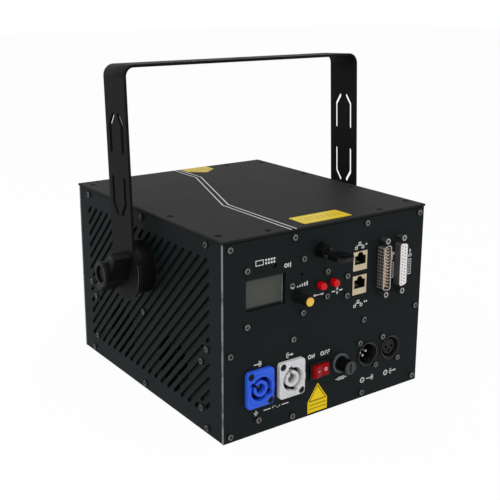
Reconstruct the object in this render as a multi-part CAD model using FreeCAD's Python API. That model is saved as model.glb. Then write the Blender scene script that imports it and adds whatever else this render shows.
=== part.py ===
import FreeCAD, Part
import math
import os

V = FreeCAD.Vector
UP = V(0, 0, 1)
OUT_REAR = V(0, -1, 0)
OUT_FRONT = V(0, 1, 0)

# Millimetres. X runs across the unit, the connector panel faces -Y, the beam leaves towards +Y,
# and the origin is the middle of the underside of the base plate.

# Case
CASE_WIDTH = 211.0
CASE_DEPTH = 246.0
CASE_HEIGHT = 164.0
LID_THICK = 2.0
LID_OVERHANG = 0.5
LID_GAP = 0.5
PANEL_THICK = 2.0
BASE_THICK = 10.0
EDGE_ROUND = 0.7

# Inner frame
RAIL_SIZE = 10.0
MID_RAIL_HEIGHT = 10.0
MID_RAIL_DEPTH = 8.0
POST_SIDE_LEG = 23.5
POST_SIDE_THICK = 4.0
POST_END_LEG = 11.5
POST_END_THICK = 8.0

# Screws
SCREW_R = 1.5
SCREW_HEAD_R = 2.8
SCREW_HEAD_HIGH = 1.6
SCREW_LENGTH = 8.0
SCREW_HEAD_DOME = 0.96
SOCKET_R = 1.2
SOCKET_DEEP = 0.9
THREAD_FIT = 0.05
HOLE_CLEAR = 0.2
CORNER_SCREW_INSET = 6.1
END_SCREW_X = 37.9
MID_SCREW_Z = 72.5
BASE_SCREW_DROP = 4.4
SIDE_SCREW_INSET = 20.0
LID_SCREW_X = 58.5
LID_SCREW_Y = (35.5, 106.6)
LID_SCREW_SINK = 0.6

# Side vents
SLOT_WIDTH = 3.4
SLOT_PITCH = 11.0
SLOT_END_MARGIN = 18.0
SLOT_LOW_Z = 16.0
SLOT_TOP_MARGIN = 18.0
SLOT_SHORTEST = 2.0
PIVOT_PLAIN_R = 25.0
SCREW_PLAIN_R = 6.5

# Yoke and its pivots
PIVOT_Z = 114.0
YOKE_GAP = 16.0
YOKE_THICK = 2.4
YOKE_WIDTH = 36.0
YOKE_RISE = 170.5
YOKE_BEND_R = 9.5
YOKE_DISC_R = 26.2
YOKE_TILT = 2.5
YOKE_HOLE_R = 6.25
FACE_CLEAR = 0.1
YOKE_SLOT_WIDTH = 3.8
YOKE_SLOT_OFFSET = 10.0
YOKE_SLOT_TIP = 4.4
YOKE_SLOT_NEAR = 77.5
YOKE_SLOT_STRAIGHT = 21.5
YOKE_SLOT_SLANT = 8.0
YOKE_SLOT_GAP = 22.9
PIVOT_PLATE_THICK = 6.0
PIVOT_PLATE_WIDTH = 44.0
SPACER_R = 22.5
STUD_R = 4.0
STUD_FIT = 0.05
STUD_CLEAR = 0.3

# Hand knobs
KNOB_HUB_R = 9.4
KNOB_HEAD_HIGH = 17.5
KNOB_WING_LIFT = 1.5
KNOB_WING_REACH = 23.0
KNOB_WING_TIP = 8.0
KNOB_WING_WAIST = 11.5
KNOB_WING_ROUND = 1.6
KNOB_EDGE_ROUND = 1.2
KNOB_CROWN_R = 10.4
KNOB_CROWN_HIGH = 4.0
KNOB_DISH_R = 7.2
KNOB_DISH_DEEP = 2.0
KNOB_TURN = 40.0

# Fans
FAN_SIZE = 50.0
FAN_DEPTH = 10.0
FAN_BORE_R = 23.5
FAN_HUB_R = 10.0
FAN_Y = 45.0
FAN_Z = 40.0
FAN_BLADES = 7
FAN_BLADE_THICK = 1.0
FAN_BLADE_CHORD = 8.0
FAN_BLADE_PITCH = 38.0
FAN_TIP_GAP = 1.0
FAN_SHAFT_R = 1.5
FAN_SPOKE = 3.0
FAN_SPOKE_THICK = 2.0
FAN_PLATE_THICK = 1.5
FAN_PLATE_DROP = 26.0
FAN_SCREW_INSET = 4.1
FAN_SCREW_Z = 20.0

# Front window
WINDOW_SIZE = 50.0
WINDOW_Z = 102.0
WINDOW_FIT = 0.2
BEZEL_SIZE = 66.0
BEZEL_OPENING = 44.0
BEZEL_THICK = 3.0
BEZEL_SCREW = 28.0
BEZEL_ROUND = 4.0

# Display, its board and what the board carries
DISPLAY_AT = (-65.0, CASE_HEIGHT - 46.7)
DISPLAY_SIZE = (38.0, 25.5)
DISPLAY_WALL = 2.6
SCREEN_THICK = 3.8
BOARD_GAP = 5.0
BOARD_THICK = 1.6
BOARD_MARGIN = 4.6
DISPLAY_HOLES_AT = (-55.9, CASE_HEIGHT - 48.5)
DISPLAY_HOLES = (54.8, 45.0)
MIC_AT = (-56.7, CASE_HEIGHT - 26.5)
MIC_R = 3.0
MIC_HOLE_R = 2.1
LED_AT = (-29.7, CASE_HEIGHT - 38.6)
LED_R = 1.6
LED_HOLE_R = 1.4
SPACER_TUBE_R = 2.9

# Function knob
ENCODER_AT = (-33.1, CASE_HEIGHT - 56.7)
ENCODER_SIZE = 12.0
BUSH_R = 3.0
BUSH_OUT = 3.0
SHAFT_R = 2.0
SHAFT_FIT = 0.05
SHAFT_OUT = 12.0
SHAFT_FOOT = 1.5
PUSH_TRAVEL = 0.5
KNOB_SKIRT_R = 5.5
KNOB_TOP_R = 4.7
KNOB_SKIRT_HIGH = 2.4
KNOB_STANDOFF = 1.0
KNOB_OUT = 14.4
KNOB_FLUTES = 12
KNOB_FLUTE_R = 0.5
CAP_R = 3.5
CAP_PROUD = 0.8
CAP_DEEP = 1.2
CAP_NOTCH = 1.2

# Push buttons
BUTTON_PAIR_AT = (-3.75, CASE_HEIGHT - 51.4)
BUTTON_SPACING = 13.7
BUTTON_R = 3.3
BUTTON_OUT = 6.2
BUTTON_ROUND = 2.4
BUTTON_TRAVEL = 2.0
BUTTON_CLEAR = 0.3
SWITCH_SIZE = 9.0
SWITCH_FLOOR = 1.0
BUTTON_BOARD = (31.0, 30.0)
BUTTON_BOARD_HOLES = 21.0

# Key switch
LOCK_AT = (-10.5, CASE_HEIGHT - 22.0)
LOCK_FLANGE_R = 6.6
LOCK_FLANGE_HIGH = 1.8
LOCK_BARREL_R = 5.4
LOCK_BARREL_OUT = 8.5
LOCK_BODY_R = 5.6
LOCK_BODY_DEEP = 24.0
LOCK_NUT_R = 8.5
LOCK_NUT_THICK = 2.5
PLUG_R = 4.2
PLUG_FIT = 0.05
PLUG_DEEP = 16.0
PLUG_PROUD = 0.6
KEY_THICK = 2.2
KEY_BLADE = 6.0
KEY_NECK = 4.8
KEY_BOW = (17.0, 19.0)
KEY_BOW_THICK = 3.2
KEY_BOW_ROUND = 5.5
KEY_RING_R = 2.6

# Network jacks
JACK_AT = (31.6, CASE_HEIGHT - 48.8)
JACK_PITCH = 20.8
JACK_SIZE = (15.4, 16.6)
JACK_PROUD = 0.6
JACK_DEEP = 17.0
JACK_MOUTH = (11.8, 7.4)
JACK_SILL = 5.4
JACK_STEPS = ((6.2, 1.6), (4.0, 1.3))
JACK_MOUTH_DEEP = 13.0
JACK_WIRES = 8
JACK_WIRE = 0.4
JACK_WIRE_PITCH = 1.02
JACK_WIRE_DEEP = 0.6
JACK_WIRE_RISE = 2.2
JACK_WIRE_START = 4.0
NETWORK_HOLE_X = 17.8
NETWORK_HOLE_DROP = (0.1, 17.2)

# Data plug and socket, 25 way, standing upright
DATA_IN_X = 56.6
DATA_OUT_X = 75.6
DATA_Z = CASE_HEIGHT - 48.0
DATA_FLANGE = (12.5, 53.0)
DATA_FLANGE_THICK = 1.0
DATA_PLUG = (8.4, 40.2)
DATA_SOCKET = (8.4, 38.6)
DATA_SLOPE = 10.0
DATA_ROUND = 2.4
DATA_SHELL_WALL = 0.6
DATA_RIM_OUT = 7.2
DATA_BODY_DEEP = 8.0
DATA_HOLE_CLEAR = 0.3
DATA_PLUG_FACE = 2.4
PIN_R = 0.5
PIN_PITCH = 2.76
PIN_ROWS = 2.84
PIN_OUT = 6.2
PIN_LONG_ROW = 13
SOCKET_HOLE_R = 0.65
SOCKET_HOLE_DEEP = 5.0
JACKSCREW_SPACING = 47.04
JACKSCREW_R = 2.7
JACKSCREW_OUT = 7.0
JACKSCREW_BORE_R = 1.42
JACKSCREW_BORE_DEEP = 4.0
JACKSCREW_DEEP = 6.0

# Locking power sockets
POWER_IN_AT = (-71.8, 40.3)
POWER_OUT_AT = (-40.5, 40.3)
FLANGE = (26.0, 31.0)
FLANGE_HOLES = (19.0, 24.0)
FLANGE_ROUND = 3.2
POWER_FLANGE_THICK = 4.0
POWER_EDGE = 0.8
POWER_RING_R = 12.6
POWER_RING_PROUD = 0.6
POWER_BODY_R = 11.6
POWER_BODY_DEEP = 25.0
POWER_MOUTH_R = 10.2
POWER_CORE_R = 6.7
POWER_CORE_BORE_R = 4.3
POWER_CORE_SINK = 1.2
POWER_MOUTH_DEEP = 18.0
POWER_KEY_WIDTH = 4.0
POWER_KEY_REACH = 1.5
POWER_BLADE = (0.8, 2.4, 11.0)
POWER_IN_KEY_TURN = 30.0
POWER_OUT_KEY_TURN = 75.0
POWER_BLADE_R = 2.5

# Round signal sockets, 3 way
SIGNAL_IN_AT = (43.8, 39.7)
SIGNAL_OUT_AT = (70.3, 39.7)
SIGNAL_FLANGE_THICK = 1.8
SIGNAL_RIM_OUT = 1.0
SIGNAL_BODY_R = 10.7
SIGNAL_BODY_DEEP = 20.0
SIGNAL_CUP_R = 8.8
SIGNAL_CUP_DEEP = 15.0
SIGNAL_MOUTH_R = 9.8
SIGNAL_MOUTH_DEEP = 1.4
SIGNAL_FLOOR = 1.6
SIGNAL_FIT = 0.1
SIGNAL_PIN_R = 1.2
SIGNAL_PIN_LONG = 7.4
SIGNAL_PIN_RING = 3.5
SIGNAL_CORE_R = 6.8
SIGNAL_CORE_SINK = 2.0
SIGNAL_HOLE_R = 1.3
SIGNAL_HOLE_DEEP = 11.0

# Mains rocker switch
ROCKER_AT = (-10.0, 39.7)
ROCKER_BEZEL = (21.0, 15.0)
ROCKER_BEZEL_OUT = 2.0
ROCKER_BEZEL_ROUND = 1.4
ROCKER_BODY = (18.8, 12.6)
ROCKER_BODY_DEEP = 18.0
ROCKER_SWING_R = 8.3
ROCKER_WIDTH = 10.4
ROCKER_CLEAR = 0.3
ROCKER_WELL = 6.0
ROCKER_AXIS_OUT = 0.6
ROCKER_END_HIGH = 4.4
ROCKER_MID_HIGH = 3.0
ROCKER_FLOOR = 3.4
ROCKER_PIN_R = 1.0
ROCKER_PIN_LONG = 0.9
ROCKER_PIN_FIT = 0.08
ROCKER_LEAN = 9.0

# Fuse holder
FUSE_AT = (12.8, 39.4)
FUSE_FLANGE_R = 8.4
FUSE_FLANGE_OUT = 2.4
FUSE_BODY_R = 6.8
FUSE_BODY_DEEP = 28.0
FUSE_BORE_FIT = 0.05
FUSE_TUBE_R = 4.0
FUSE_TUBE_DEEP = 9.0
FUSE_CAP_R = 6.0
FUSE_CAP_STANDOFF = 0.3
FUSE_CAP_OUT = 14.0
FUSE_CAP_RIBS = 16
FUSE_CAP_RIB_R = 0.55
FUSE_CAP_SLOT = (1.6, 8.0, 1.4)
FUSE_R = 2.5
FUSE_LONG = 20.0
FUSE_FIT = 0.1

# Earth screw
EARTH_AT = (-72.6, 12.6)
EARTH_WASHER_R = 3.8
EARTH_WASHER_THICK = 0.8

# Optical deck
BENCH_THICK = 8.0
BENCH_Z = 62.0
BENCH_SIDE_CLEAR = 9.0
BENCH_BACK_Y = -60.0
BENCH_FRONT_CLEAR = 8.5
BENCH_LEG_R = 6.0
BENCH_LEG_INSET = (8.0, 11.0)
BEAM_HIGH = 18.0
COMBINER_Y = 60.0
LASER_X = (-74.0, -50.0, -26.0)
LASER_SIZE = (22.0, 70.0, 32.0)
LASER_BACK_Y = -40.0
LASER_FINS = 5
LASER_FIN_DEEP = 8.0
LASER_LENS_R = 5.0
LASER_LENS_LONG = 6.0
MIRROR_SIZE = 14.0
MIRROR_THICK = 1.2
MIRROR_BLOCK = (16.0, 8.0)
MIRROR_LEAN = 45.0

# Scanner
SCAN_RISE = 14.0
SCAN_MOTOR_R = 10.0
SCAN_MOTOR_LONG = 28.0
SCAN_MOTOR_OFF = 14.0
SCAN_MOTOR_FIT = 0.05
SCAN_WALL = 3.0
SCAN_WALL_LONG = 24.0
SCAN_FLOOR = 4.0
SCAN_SHAFT_R = 1.5
SCAN_SHAFT_FIT = 0.05
SCAN_CLAMP_R = 2.5
SCAN_CLAMP_GAP = 1.0
SCAN_BORE_SHARE = 0.9
SCAN_SHAFT_SHARE = 0.85
SCAN_MIRROR_THICK = 1.0
SCAN_X_MIRROR = (12.0, 8.0)
SCAN_Y_MIRROR = (16.0, 9.0)

# Power supply and driver boards
SUPPLY_SIZE = (84.0, 130.0, 38.0)
SUPPLY_AT = (-28.0, -15.0)
SUPPLY_VENTS = 12
SUPPLY_VENT = (3.0, 30.0, 1.0)
SUPPLY_VENT_PITCH = 8.0
DRIVER_SIZE = (44.0, 80.0)
DRIVER_AT = ((46.0, -38.0), (46.0, 50.0))
DRIVER_LEG_R = 3.0
DRIVER_LEG_HIGH = 6.0
DRIVER_SINK = (14.0, 60.0, 20.0)
DRIVER_CHIPS = 4
DRIVER_CHIP = (10.0, 9.0, 4.0)

# Each data connector: where it is, its size, and the side its long edge is on
DATA_IN = (DATA_IN_X, DATA_PLUG, 1)
DATA_OUT = (DATA_OUT_X, DATA_SOCKET, -1)

# Planes that follow from the case
SIDE_OUT = CASE_WIDTH / 2 - LID_OVERHANG
SIDE_IN = SIDE_OUT - PANEL_THICK
END_OUT = CASE_DEPTH / 2 - LID_OVERHANG
END_IN = END_OUT - PANEL_THICK
LID_Z = CASE_HEIGHT - LID_THICK
PANEL_TOP = LID_Z - LID_GAP
RAIL_Z = LID_Z - RAIL_SIZE
RAIL_MID_Z = LID_Z - RAIL_SIZE / 2
BASE_SCREW_Z = BASE_THICK - BASE_SCREW_DROP
CORNER_SCREW_X = SIDE_OUT - CORNER_SCREW_INSET
SIDE_SCREW_Y = END_IN - SIDE_SCREW_INSET
FAN_PLATE_END = END_IN - POST_SIDE_LEG - LID_GAP
FAN_SCREW_Y = FAN_PLATE_END - FAN_SCREW_INSET
YOKE_IN = SIDE_OUT + YOKE_GAP
YOKE_OUT = YOKE_IN + YOKE_THICK
BENCH_HALF_WIDTH = SIDE_IN - PIVOT_PLATE_THICK - BENCH_SIDE_CLEAR
BENCH_FRONT_Y = END_IN - BENCH_FRONT_CLEAR
BENCH_TOP = BENCH_Z + BENCH_THICK
BEAM_Z = BENCH_TOP + BEAM_HIGH
SCAN_Z = BEAM_Z + SCAN_RISE
BOARD_IN = PANEL_THICK + BOARD_GAP


# Shape helpers
def block(x, y, z):
    """A box between three pairs of limits."""
    size = [max(pair) - min(pair) for pair in (x, y, z)]
    return Part.makeBox(*size, V(min(x), min(y), min(z)))


def rod(radius, start, end):
    """A round bar from one point to another."""
    along = end - start
    return Part.makeCylinder(radius, along.Length, start, along)


def tube(outer, inner, start, end):
    """A round bar with a bore right through."""
    return rod(outer, start, end).cut(rod(inner, start, end))


def prism(points, along):
    """A closed outline of straight lines, drawn out along a vector."""
    return Part.Face(Part.makePolygon(points + [points[0]])).extrude(along)


def fuse_all(shapes):
    """One solid from shapes that meet."""
    return shapes[0].fuse(shapes[1:]).removeSplitter()


def on_plane(edge, axis, value):
    """True where both ends of an edge lie on one plane across an axis."""
    return all(abs(getattr(v.Point, axis) - value) < 1e-6 for v in edge.Vertexes)


def along_axis(edge, axis):
    """True for a straight edge that runs along one axis."""
    others = [a for a in "xyz" if a != axis]
    first, last = edge.Vertexes[0].Point, edge.Vertexes[-1].Point
    return all(abs(getattr(first, a) - getattr(last, a)) < 1e-6 for a in others)


def soften(shape, radius, axis, value):
    """Round the edges that lie on one plane."""
    return shape.makeFillet(radius, [e for e in shape.Edges if on_plane(e, axis, value)])


def round_corners(shape, radius, axis):
    """Round the straight edges that run along one axis."""
    return shape.makeFillet(radius, [e for e in shape.Edges if along_axis(e, axis)])


def slot(start, end, width, depth):
    """A straight round-ended slot between two points, drawn out along a vector."""
    ahead = (end - start).normalize() * (width / 2)
    aside = ahead.cross(depth).normalize() * (width / 2)
    outline = [
        Part.LineSegment(start + aside, end + aside),
        Part.Arc(end + aside, end + ahead, end - aside),
        Part.LineSegment(end - aside, start - aside),
        Part.Arc(start - aside, start - ahead, start + aside),
    ]
    return Part.Face(Part.Wire([curve.toShape() for curve in outline])).extrude(depth)


def placed(shape, position, facing):
    """A copy with its own +Z turned to a direction and its origin moved to a point."""
    copy = shape.copy()
    copy.Placement = FreeCAD.Placement(position, FreeCAD.Rotation(UP, facing))
    return copy


def mirrored(shape):
    """The same shape on the other side of the unit."""
    return shape.mirror(V(0, 0, 0), V(1, 0, 0))


# Helpers for the connector panel: a place is (x, z), and out is measured from its outer face
def rear(place, out):
    return V(place[0], -END_OUT - out, place[1])


def rear_rod(place, radius, out_from, out_to):
    return rod(radius, rear(place, out_from), rear(place, out_to))


def rear_block(place, size, out_from, out_to):
    x = (place[0] - size[0] / 2, place[0] + size[0] / 2)
    z = (place[1] - size[1] / 2, place[1] + size[1] / 2)
    return block(x, (-END_OUT - out_from, -END_OUT - out_to), z)


def shifted(place, right, up):
    return (place[0] + right, place[1] + up)


def corners_of(place, size):
    return [shifted(place, i * size[0] / 2, j * size[1] / 2) for i in (-1, 1) for j in (-1, 1)]


# Screws
def hex_socket(top):
    points = [V(SOCKET_R * math.cos(a), SOCKET_R * math.sin(a), top)
              for a in [math.radians(60 * i) for i in range(6)]]
    return prism(points, V(0, 0, -SOCKET_DEEP))


def button_screw(length=SCREW_LENGTH):
    """A round-headed socket screw: the head stands on z = 0 and the shank hangs below."""
    head = Part.makeCylinder(SCREW_HEAD_R, SCREW_HEAD_HIGH)
    head = soften(head, SCREW_HEAD_DOME, "z", SCREW_HEAD_HIGH)
    shank = Part.makeCylinder(SCREW_R, length, V(0, 0, -length))
    return head.fuse(shank).removeSplitter().cut(hex_socket(SCREW_HEAD_HIGH))


def flat_screw(length=SCREW_LENGTH):
    """A countersunk socket screw with its head flush at z = 0."""
    sink = SCREW_HEAD_R - SCREW_R
    head = Part.makeCone(SCREW_R, SCREW_HEAD_R, sink, V(0, 0, -sink))
    shank = Part.makeCylinder(SCREW_R, length - sink, V(0, 0, -length))
    return head.fuse(shank).removeSplitter().cut(hex_socket(0))


def end_screw_places():
    """Screws round and across the front and rear panels."""
    rows = (BASE_SCREW_Z, MID_SCREW_Z, RAIL_MID_Z)
    columns = (-CORNER_SCREW_X, -END_SCREW_X, END_SCREW_X, CORNER_SCREW_X)
    return [(x, z) for x in columns for z in rows]


def front_frame_places():
    """The front panel has no rail across its middle, so only its corner posts take screws there."""
    return [p for p in end_screw_places() if p[1] != MID_SCREW_Z or abs(p[0]) == CORNER_SCREW_X]


def side_screw_places():
    """Screws round each side panel, and the one above the fan plate, as (y, z)."""
    rows = (BASE_SCREW_Z, MID_SCREW_Z, RAIL_MID_Z)
    return [(y, z) for y in (-SIDE_SCREW_Y, 0, SIDE_SCREW_Y) for z in rows]


def fan_screw_places():
    """Screws that hold the fan plate to the left panel, as (y, z)."""
    return [(y, FAN_Z + side * FAN_SCREW_Z) for y in (-FAN_SCREW_Y, FAN_SCREW_Y) for side in (-1, 1)]


def lid_screw_places():
    long_x = SIDE_IN - RAIL_SIZE / 2
    cross_y = END_IN - RAIL_SIZE / 2
    long_rows = [(i * long_x, j * y) for i in (-1, 1) for j in (-1, 1) for y in LID_SCREW_Y]
    cross_rows = [(i * LID_SCREW_X, j * cross_y) for i in (-1, 1) for j in (-1, 1)]
    return long_rows + cross_rows


def bezel_screw_places():
    return corners_of((0, WINDOW_Z), (2 * BEZEL_SCREW, 2 * BEZEL_SCREW))


def button_board_screws():
    return [shifted(BUTTON_PAIR_AT, 0, side * BUTTON_BOARD_HOLES / 2) for side in (-1, 1)]


def network_screws():
    return [(NETWORK_HOLE_X, JACK_AT[1] - drop) for drop in NETWORK_HOLE_DROP]


def flange_screws(place):
    """The two screws of a socket flange, upper left and lower right."""
    return [shifted(place, side * FLANGE_HOLES[0] / 2, -side * FLANGE_HOLES[1] / 2) for side in (-1, 1)]


POWER_PLACES = (POWER_IN_AT, POWER_OUT_AT)
SIGNAL_PLACES = (SIGNAL_IN_AT, SIGNAL_OUT_AT)


def frame_drills():
    """Every threaded hole that the case screws make in the base, posts, rails and pivot plates."""
    reach = SCREW_LENGTH
    radius = SCREW_R + THREAD_FIT
    drills = [rod(radius, V(x, -END_OUT, z), V(x, -END_OUT + reach, z)) for x, z in end_screw_places()]
    drills += [rod(radius, V(x, END_OUT, z), V(x, END_OUT - reach, z)) for x, z in front_frame_places()]
    for side in (-1, 1):
        drills += [rod(radius, V(side * SIDE_OUT, y, z), V(side * (SIDE_OUT - reach), y, z))
                   for y, z in side_screw_places()]
    seat_z = CASE_HEIGHT - LID_SCREW_SINK
    drills += [rod(radius, V(x, y, seat_z), V(x, y, seat_z - reach)) for x, y in lid_screw_places()]
    return drills


# Case and frame
def base_plate():
    plate = block((-SIDE_IN, SIDE_IN), (-END_IN, END_IN), (0, BASE_THICK))
    return plate.cut(frame_drills())


def top_cover():
    half = (CASE_WIDTH / 2, CASE_DEPTH / 2)
    plate = block((-half[0], half[0]), (-half[1], half[1]), (LID_Z, CASE_HEIGHT))
    plate = soften(plate, EDGE_ROUND, "z", CASE_HEIGHT)
    sink = SCREW_HEAD_R - SCREW_R
    cuts = []
    for x, y in lid_screw_places():
        top = V(x, y, CASE_HEIGHT)
        seat = top - UP * LID_SCREW_SINK
        cuts.append(rod(SCREW_HEAD_R + THREAD_FIT, top, seat))
        cuts.append(Part.makeCone(SCREW_R + THREAD_FIT, SCREW_HEAD_R + THREAD_FIT, sink, seat - UP * sink))
        cuts.append(rod(SCREW_R + THREAD_FIT, top, top - UP * LID_THICK))
    return plate.cut(cuts)


def frame_posts():
    """Angle posts in the four corners between the base and the rails."""
    post = fuse_all([
        block((SIDE_IN - POST_SIDE_THICK, SIDE_IN), (END_IN - POST_SIDE_LEG, END_IN), (BASE_THICK, RAIL_Z)),
        block((SIDE_IN - POST_END_LEG, SIDE_IN), (END_IN - POST_END_THICK, END_IN), (BASE_THICK, RAIL_Z)),
    ])
    pair = [post, post.mirror(V(0, 0, 0), V(0, 1, 0))]
    return [p.cut(frame_drills()) for p in pair + [mirrored(p) for p in pair]]


def frame_rails():
    """Four rails under the lid and one across the back."""
    inner = SIDE_IN - RAIL_SIZE
    high = (RAIL_Z, LID_Z)
    cross_x = (-inner, inner)
    mid_x = SIDE_IN - POST_END_LEG
    mid_z = (pivot_plate_low(), MID_SCREW_Z + MID_RAIL_HEIGHT / 2)
    bars = [
        block((-SIDE_IN, -inner), (-END_IN, END_IN), high),
        block((inner, SIDE_IN), (-END_IN, END_IN), high),
        block(cross_x, (-END_IN, -END_IN + RAIL_SIZE), high),
        block(cross_x, (END_IN - RAIL_SIZE, END_IN), high),
        block((-mid_x, mid_x), (-END_IN, -END_IN + MID_RAIL_DEPTH), mid_z),
    ]
    return [bar.cut(frame_drills()) for bar in bars]


def pivot_plate_low():
    return MID_SCREW_Z - MID_RAIL_HEIGHT / 2


def pivot_plates():
    """Stiffeners behind the side panels, tapped for the hand knobs."""
    half = PIVOT_PLATE_WIDTH / 2
    plate = block((SIDE_IN - PIVOT_PLATE_THICK, SIDE_IN), (-half, half), (pivot_plate_low(), RAIL_Z))
    plate = plate.cut(rod(STUD_R + STUD_FIT, V(0, 0, PIVOT_Z), V(SIDE_IN, 0, PIVOT_Z)))
    return [p.cut(frame_drills()) for p in (plate, mirrored(plate))]


def pivot_spacers():
    """Bosses that hold the yoke arms clear of the case."""
    boss = tube(SPACER_R, STUD_R + STUD_CLEAR, V(SIDE_OUT, 0, PIVOT_Z), V(YOKE_IN - FACE_CLEAR, 0, PIVOT_Z))
    return [boss, mirrored(boss)]


def slot_spans(total, plain):
    """The stretches of one 45 degree vent line y + z = total that lie clear of the plain places."""
    end = END_OUT - SLOT_END_MARGIN - SLOT_WIDTH / 2
    low = SLOT_LOW_Z + SLOT_WIDTH / 2
    high = PANEL_TOP - SLOT_TOP_MARGIN + SLOT_WIDTH / 2
    first = max(low, total - end)
    last = min(high, total + end)
    cuts = []
    for y, z, radius in plain:
        away = (y + z - total) / math.sqrt(2)
        if abs(away) < radius:
            middle = (z - y + total) / 2
            half = math.sqrt(radius ** 2 - away ** 2) / math.sqrt(2)
            cuts.append((middle - half, middle + half))
    spans = []
    for cut_low, cut_high in sorted(cuts) + [(last, last)]:
        if min(cut_low, last) - first > SLOT_SHORTEST:
            spans.append((first, min(cut_low, last)))
        first = max(first, cut_high)
    return [((total - a, a), (total - b, b)) for a, b in spans]


def side_panel(plain_screws):
    """The +X panel with its slanted vents, screw holes and pivot hole."""
    panel = block((SIDE_IN, SIDE_OUT), (-END_IN, END_IN), (0, PANEL_TOP))
    panel = soften(panel, EDGE_ROUND, "x", SIDE_OUT)
    screws = side_screw_places() + plain_screws
    plain = [(0, PIVOT_Z, PIVOT_PLAIN_R)]
    plain += [(y, z, SCREW_PLAIN_R) for y, z in screws if y]
    depth = V(PANEL_THICK, 0, 0)
    count = int((CASE_DEPTH + CASE_HEIGHT) / SLOT_PITCH)
    cuts = []
    for i in range(-count, count):
        for start, end in slot_spans(MID_SCREW_Z + (i + 0.5) * SLOT_PITCH, plain):
            cuts.append(slot(V(SIDE_IN, *start), V(SIDE_IN, *end), SLOT_WIDTH, depth))
    cuts += [rod(SCREW_R + HOLE_CLEAR, V(SIDE_IN, y, z), V(SIDE_OUT, y, z)) for y, z in screws]
    cuts.append(rod(STUD_R + STUD_CLEAR, V(SIDE_IN, 0, PIVOT_Z), V(SIDE_OUT, 0, PIVOT_Z)))
    return panel.cut(cuts)


def rear_cutouts():
    """Every opening of the connector panel."""
    through = (0, -PANEL_THICK)
    panel_screws = end_screw_places() + corners_of(DISPLAY_HOLES_AT, DISPLAY_HOLES)
    panel_screws += button_board_screws() + network_screws()
    for place in POWER_PLACES + SIGNAL_PLACES:
        panel_screws += flange_screws(place)
    cuts = [rear_rod(p, SCREW_R + HOLE_CLEAR, *through) for p in panel_screws + [EARTH_AT]]
    cuts += [rear_rod(p, SCREW_R + HOLE_CLEAR, *through) for p in jackscrew_places()]
    cuts.append(rear_block(DISPLAY_AT, DISPLAY_SIZE, *through))
    cuts.append(rear_rod(MIC_AT, MIC_HOLE_R, *through))
    cuts.append(rear_rod(LED_AT, LED_HOLE_R, *through))
    cuts.append(rear_rod(ENCODER_AT, BUSH_R + HOLE_CLEAR, *through))
    cuts += [rear_rod(p, BUTTON_R + BUTTON_CLEAR, *through) for p in button_places()]
    cuts.append(rear_rod(LOCK_AT, LOCK_BODY_R + HOLE_CLEAR, *through))
    jack_hole = (JACK_SIZE[0] + 2 * HOLE_CLEAR, JACK_SIZE[1] + 2 * HOLE_CLEAR)
    cuts += [rear_block(p, jack_hole, *through) for p in jack_places()]
    cuts += [d_shape(kind, DATA_HOLE_CLEAR, *through) for kind in (DATA_IN, DATA_OUT)]
    cuts += [rear_rod(p, POWER_BODY_R + HOLE_CLEAR, *through) for p in POWER_PLACES]
    cuts += [rear_rod(p, SIGNAL_BODY_R + HOLE_CLEAR, *through) for p in SIGNAL_PLACES]
    rocker_hole = (ROCKER_BODY[0] + 2 * HOLE_CLEAR, ROCKER_BODY[1] + 2 * HOLE_CLEAR)
    cuts.append(rear_block(ROCKER_AT, rocker_hole, *through))
    cuts.append(rear_rod(FUSE_AT, FUSE_BODY_R + HOLE_CLEAR, *through))
    return cuts


def rear_panel():
    panel = block((-SIDE_OUT, SIDE_OUT), (-END_OUT, -END_IN), (0, PANEL_TOP))
    panel = soften(panel, EDGE_ROUND, "y", -END_OUT)
    return panel.cut(rear_cutouts())


def front_panel():
    panel = block((-SIDE_OUT, SIDE_OUT), (END_IN, END_OUT), (0, PANEL_TOP))
    panel = soften(panel, EDGE_ROUND, "y", END_OUT)
    half = WINDOW_SIZE / 2
    cuts = [block((-half, half), (END_IN, END_OUT), (WINDOW_Z - half, WINDOW_Z + half))]
    cuts += [rod(SCREW_R + HOLE_CLEAR, V(x, END_IN, z), V(x, END_OUT, z))
             for x, z in front_frame_places() + bezel_screw_places()]
    return panel.cut(cuts)


def window_bezel():
    half = BEZEL_SIZE / 2
    face = END_OUT + BEZEL_THICK
    plate = block((-half, half), (END_OUT, face), (WINDOW_Z - half, WINDOW_Z + half))
    plate = round_corners(plate, BEZEL_ROUND, "y")
    plate = soften(plate, EDGE_ROUND, "y", face)
    gap = BEZEL_OPENING / 2
    cuts = [block((-gap, gap), (END_OUT, face), (WINDOW_Z - gap, WINDOW_Z + gap))]
    cuts += [rod(SCREW_R + HOLE_CLEAR, V(x, END_OUT, z), V(x, face, z)) for x, z in bezel_screw_places()]
    return plate.cut(cuts)


def window_glass():
    half = WINDOW_SIZE / 2 - WINDOW_FIT
    return block((-half, half), (END_IN, END_OUT), (WINDOW_Z - half, WINDOW_Z + half))


# Screw groups
def top_screws():
    return [placed(flat_screw(), V(x, y, CASE_HEIGHT - LID_SCREW_SINK), UP) for x, y in lid_screw_places()]


def side_screws():
    screws = [placed(button_screw(), V(SIDE_OUT, y, z), V(1, 0, 0)) for y, z in side_screw_places()]
    left = [placed(button_screw(), V(-SIDE_OUT, y, z), V(-1, 0, 0))
            for y, z in side_screw_places() + fan_screw_places()]
    return screws + left


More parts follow.
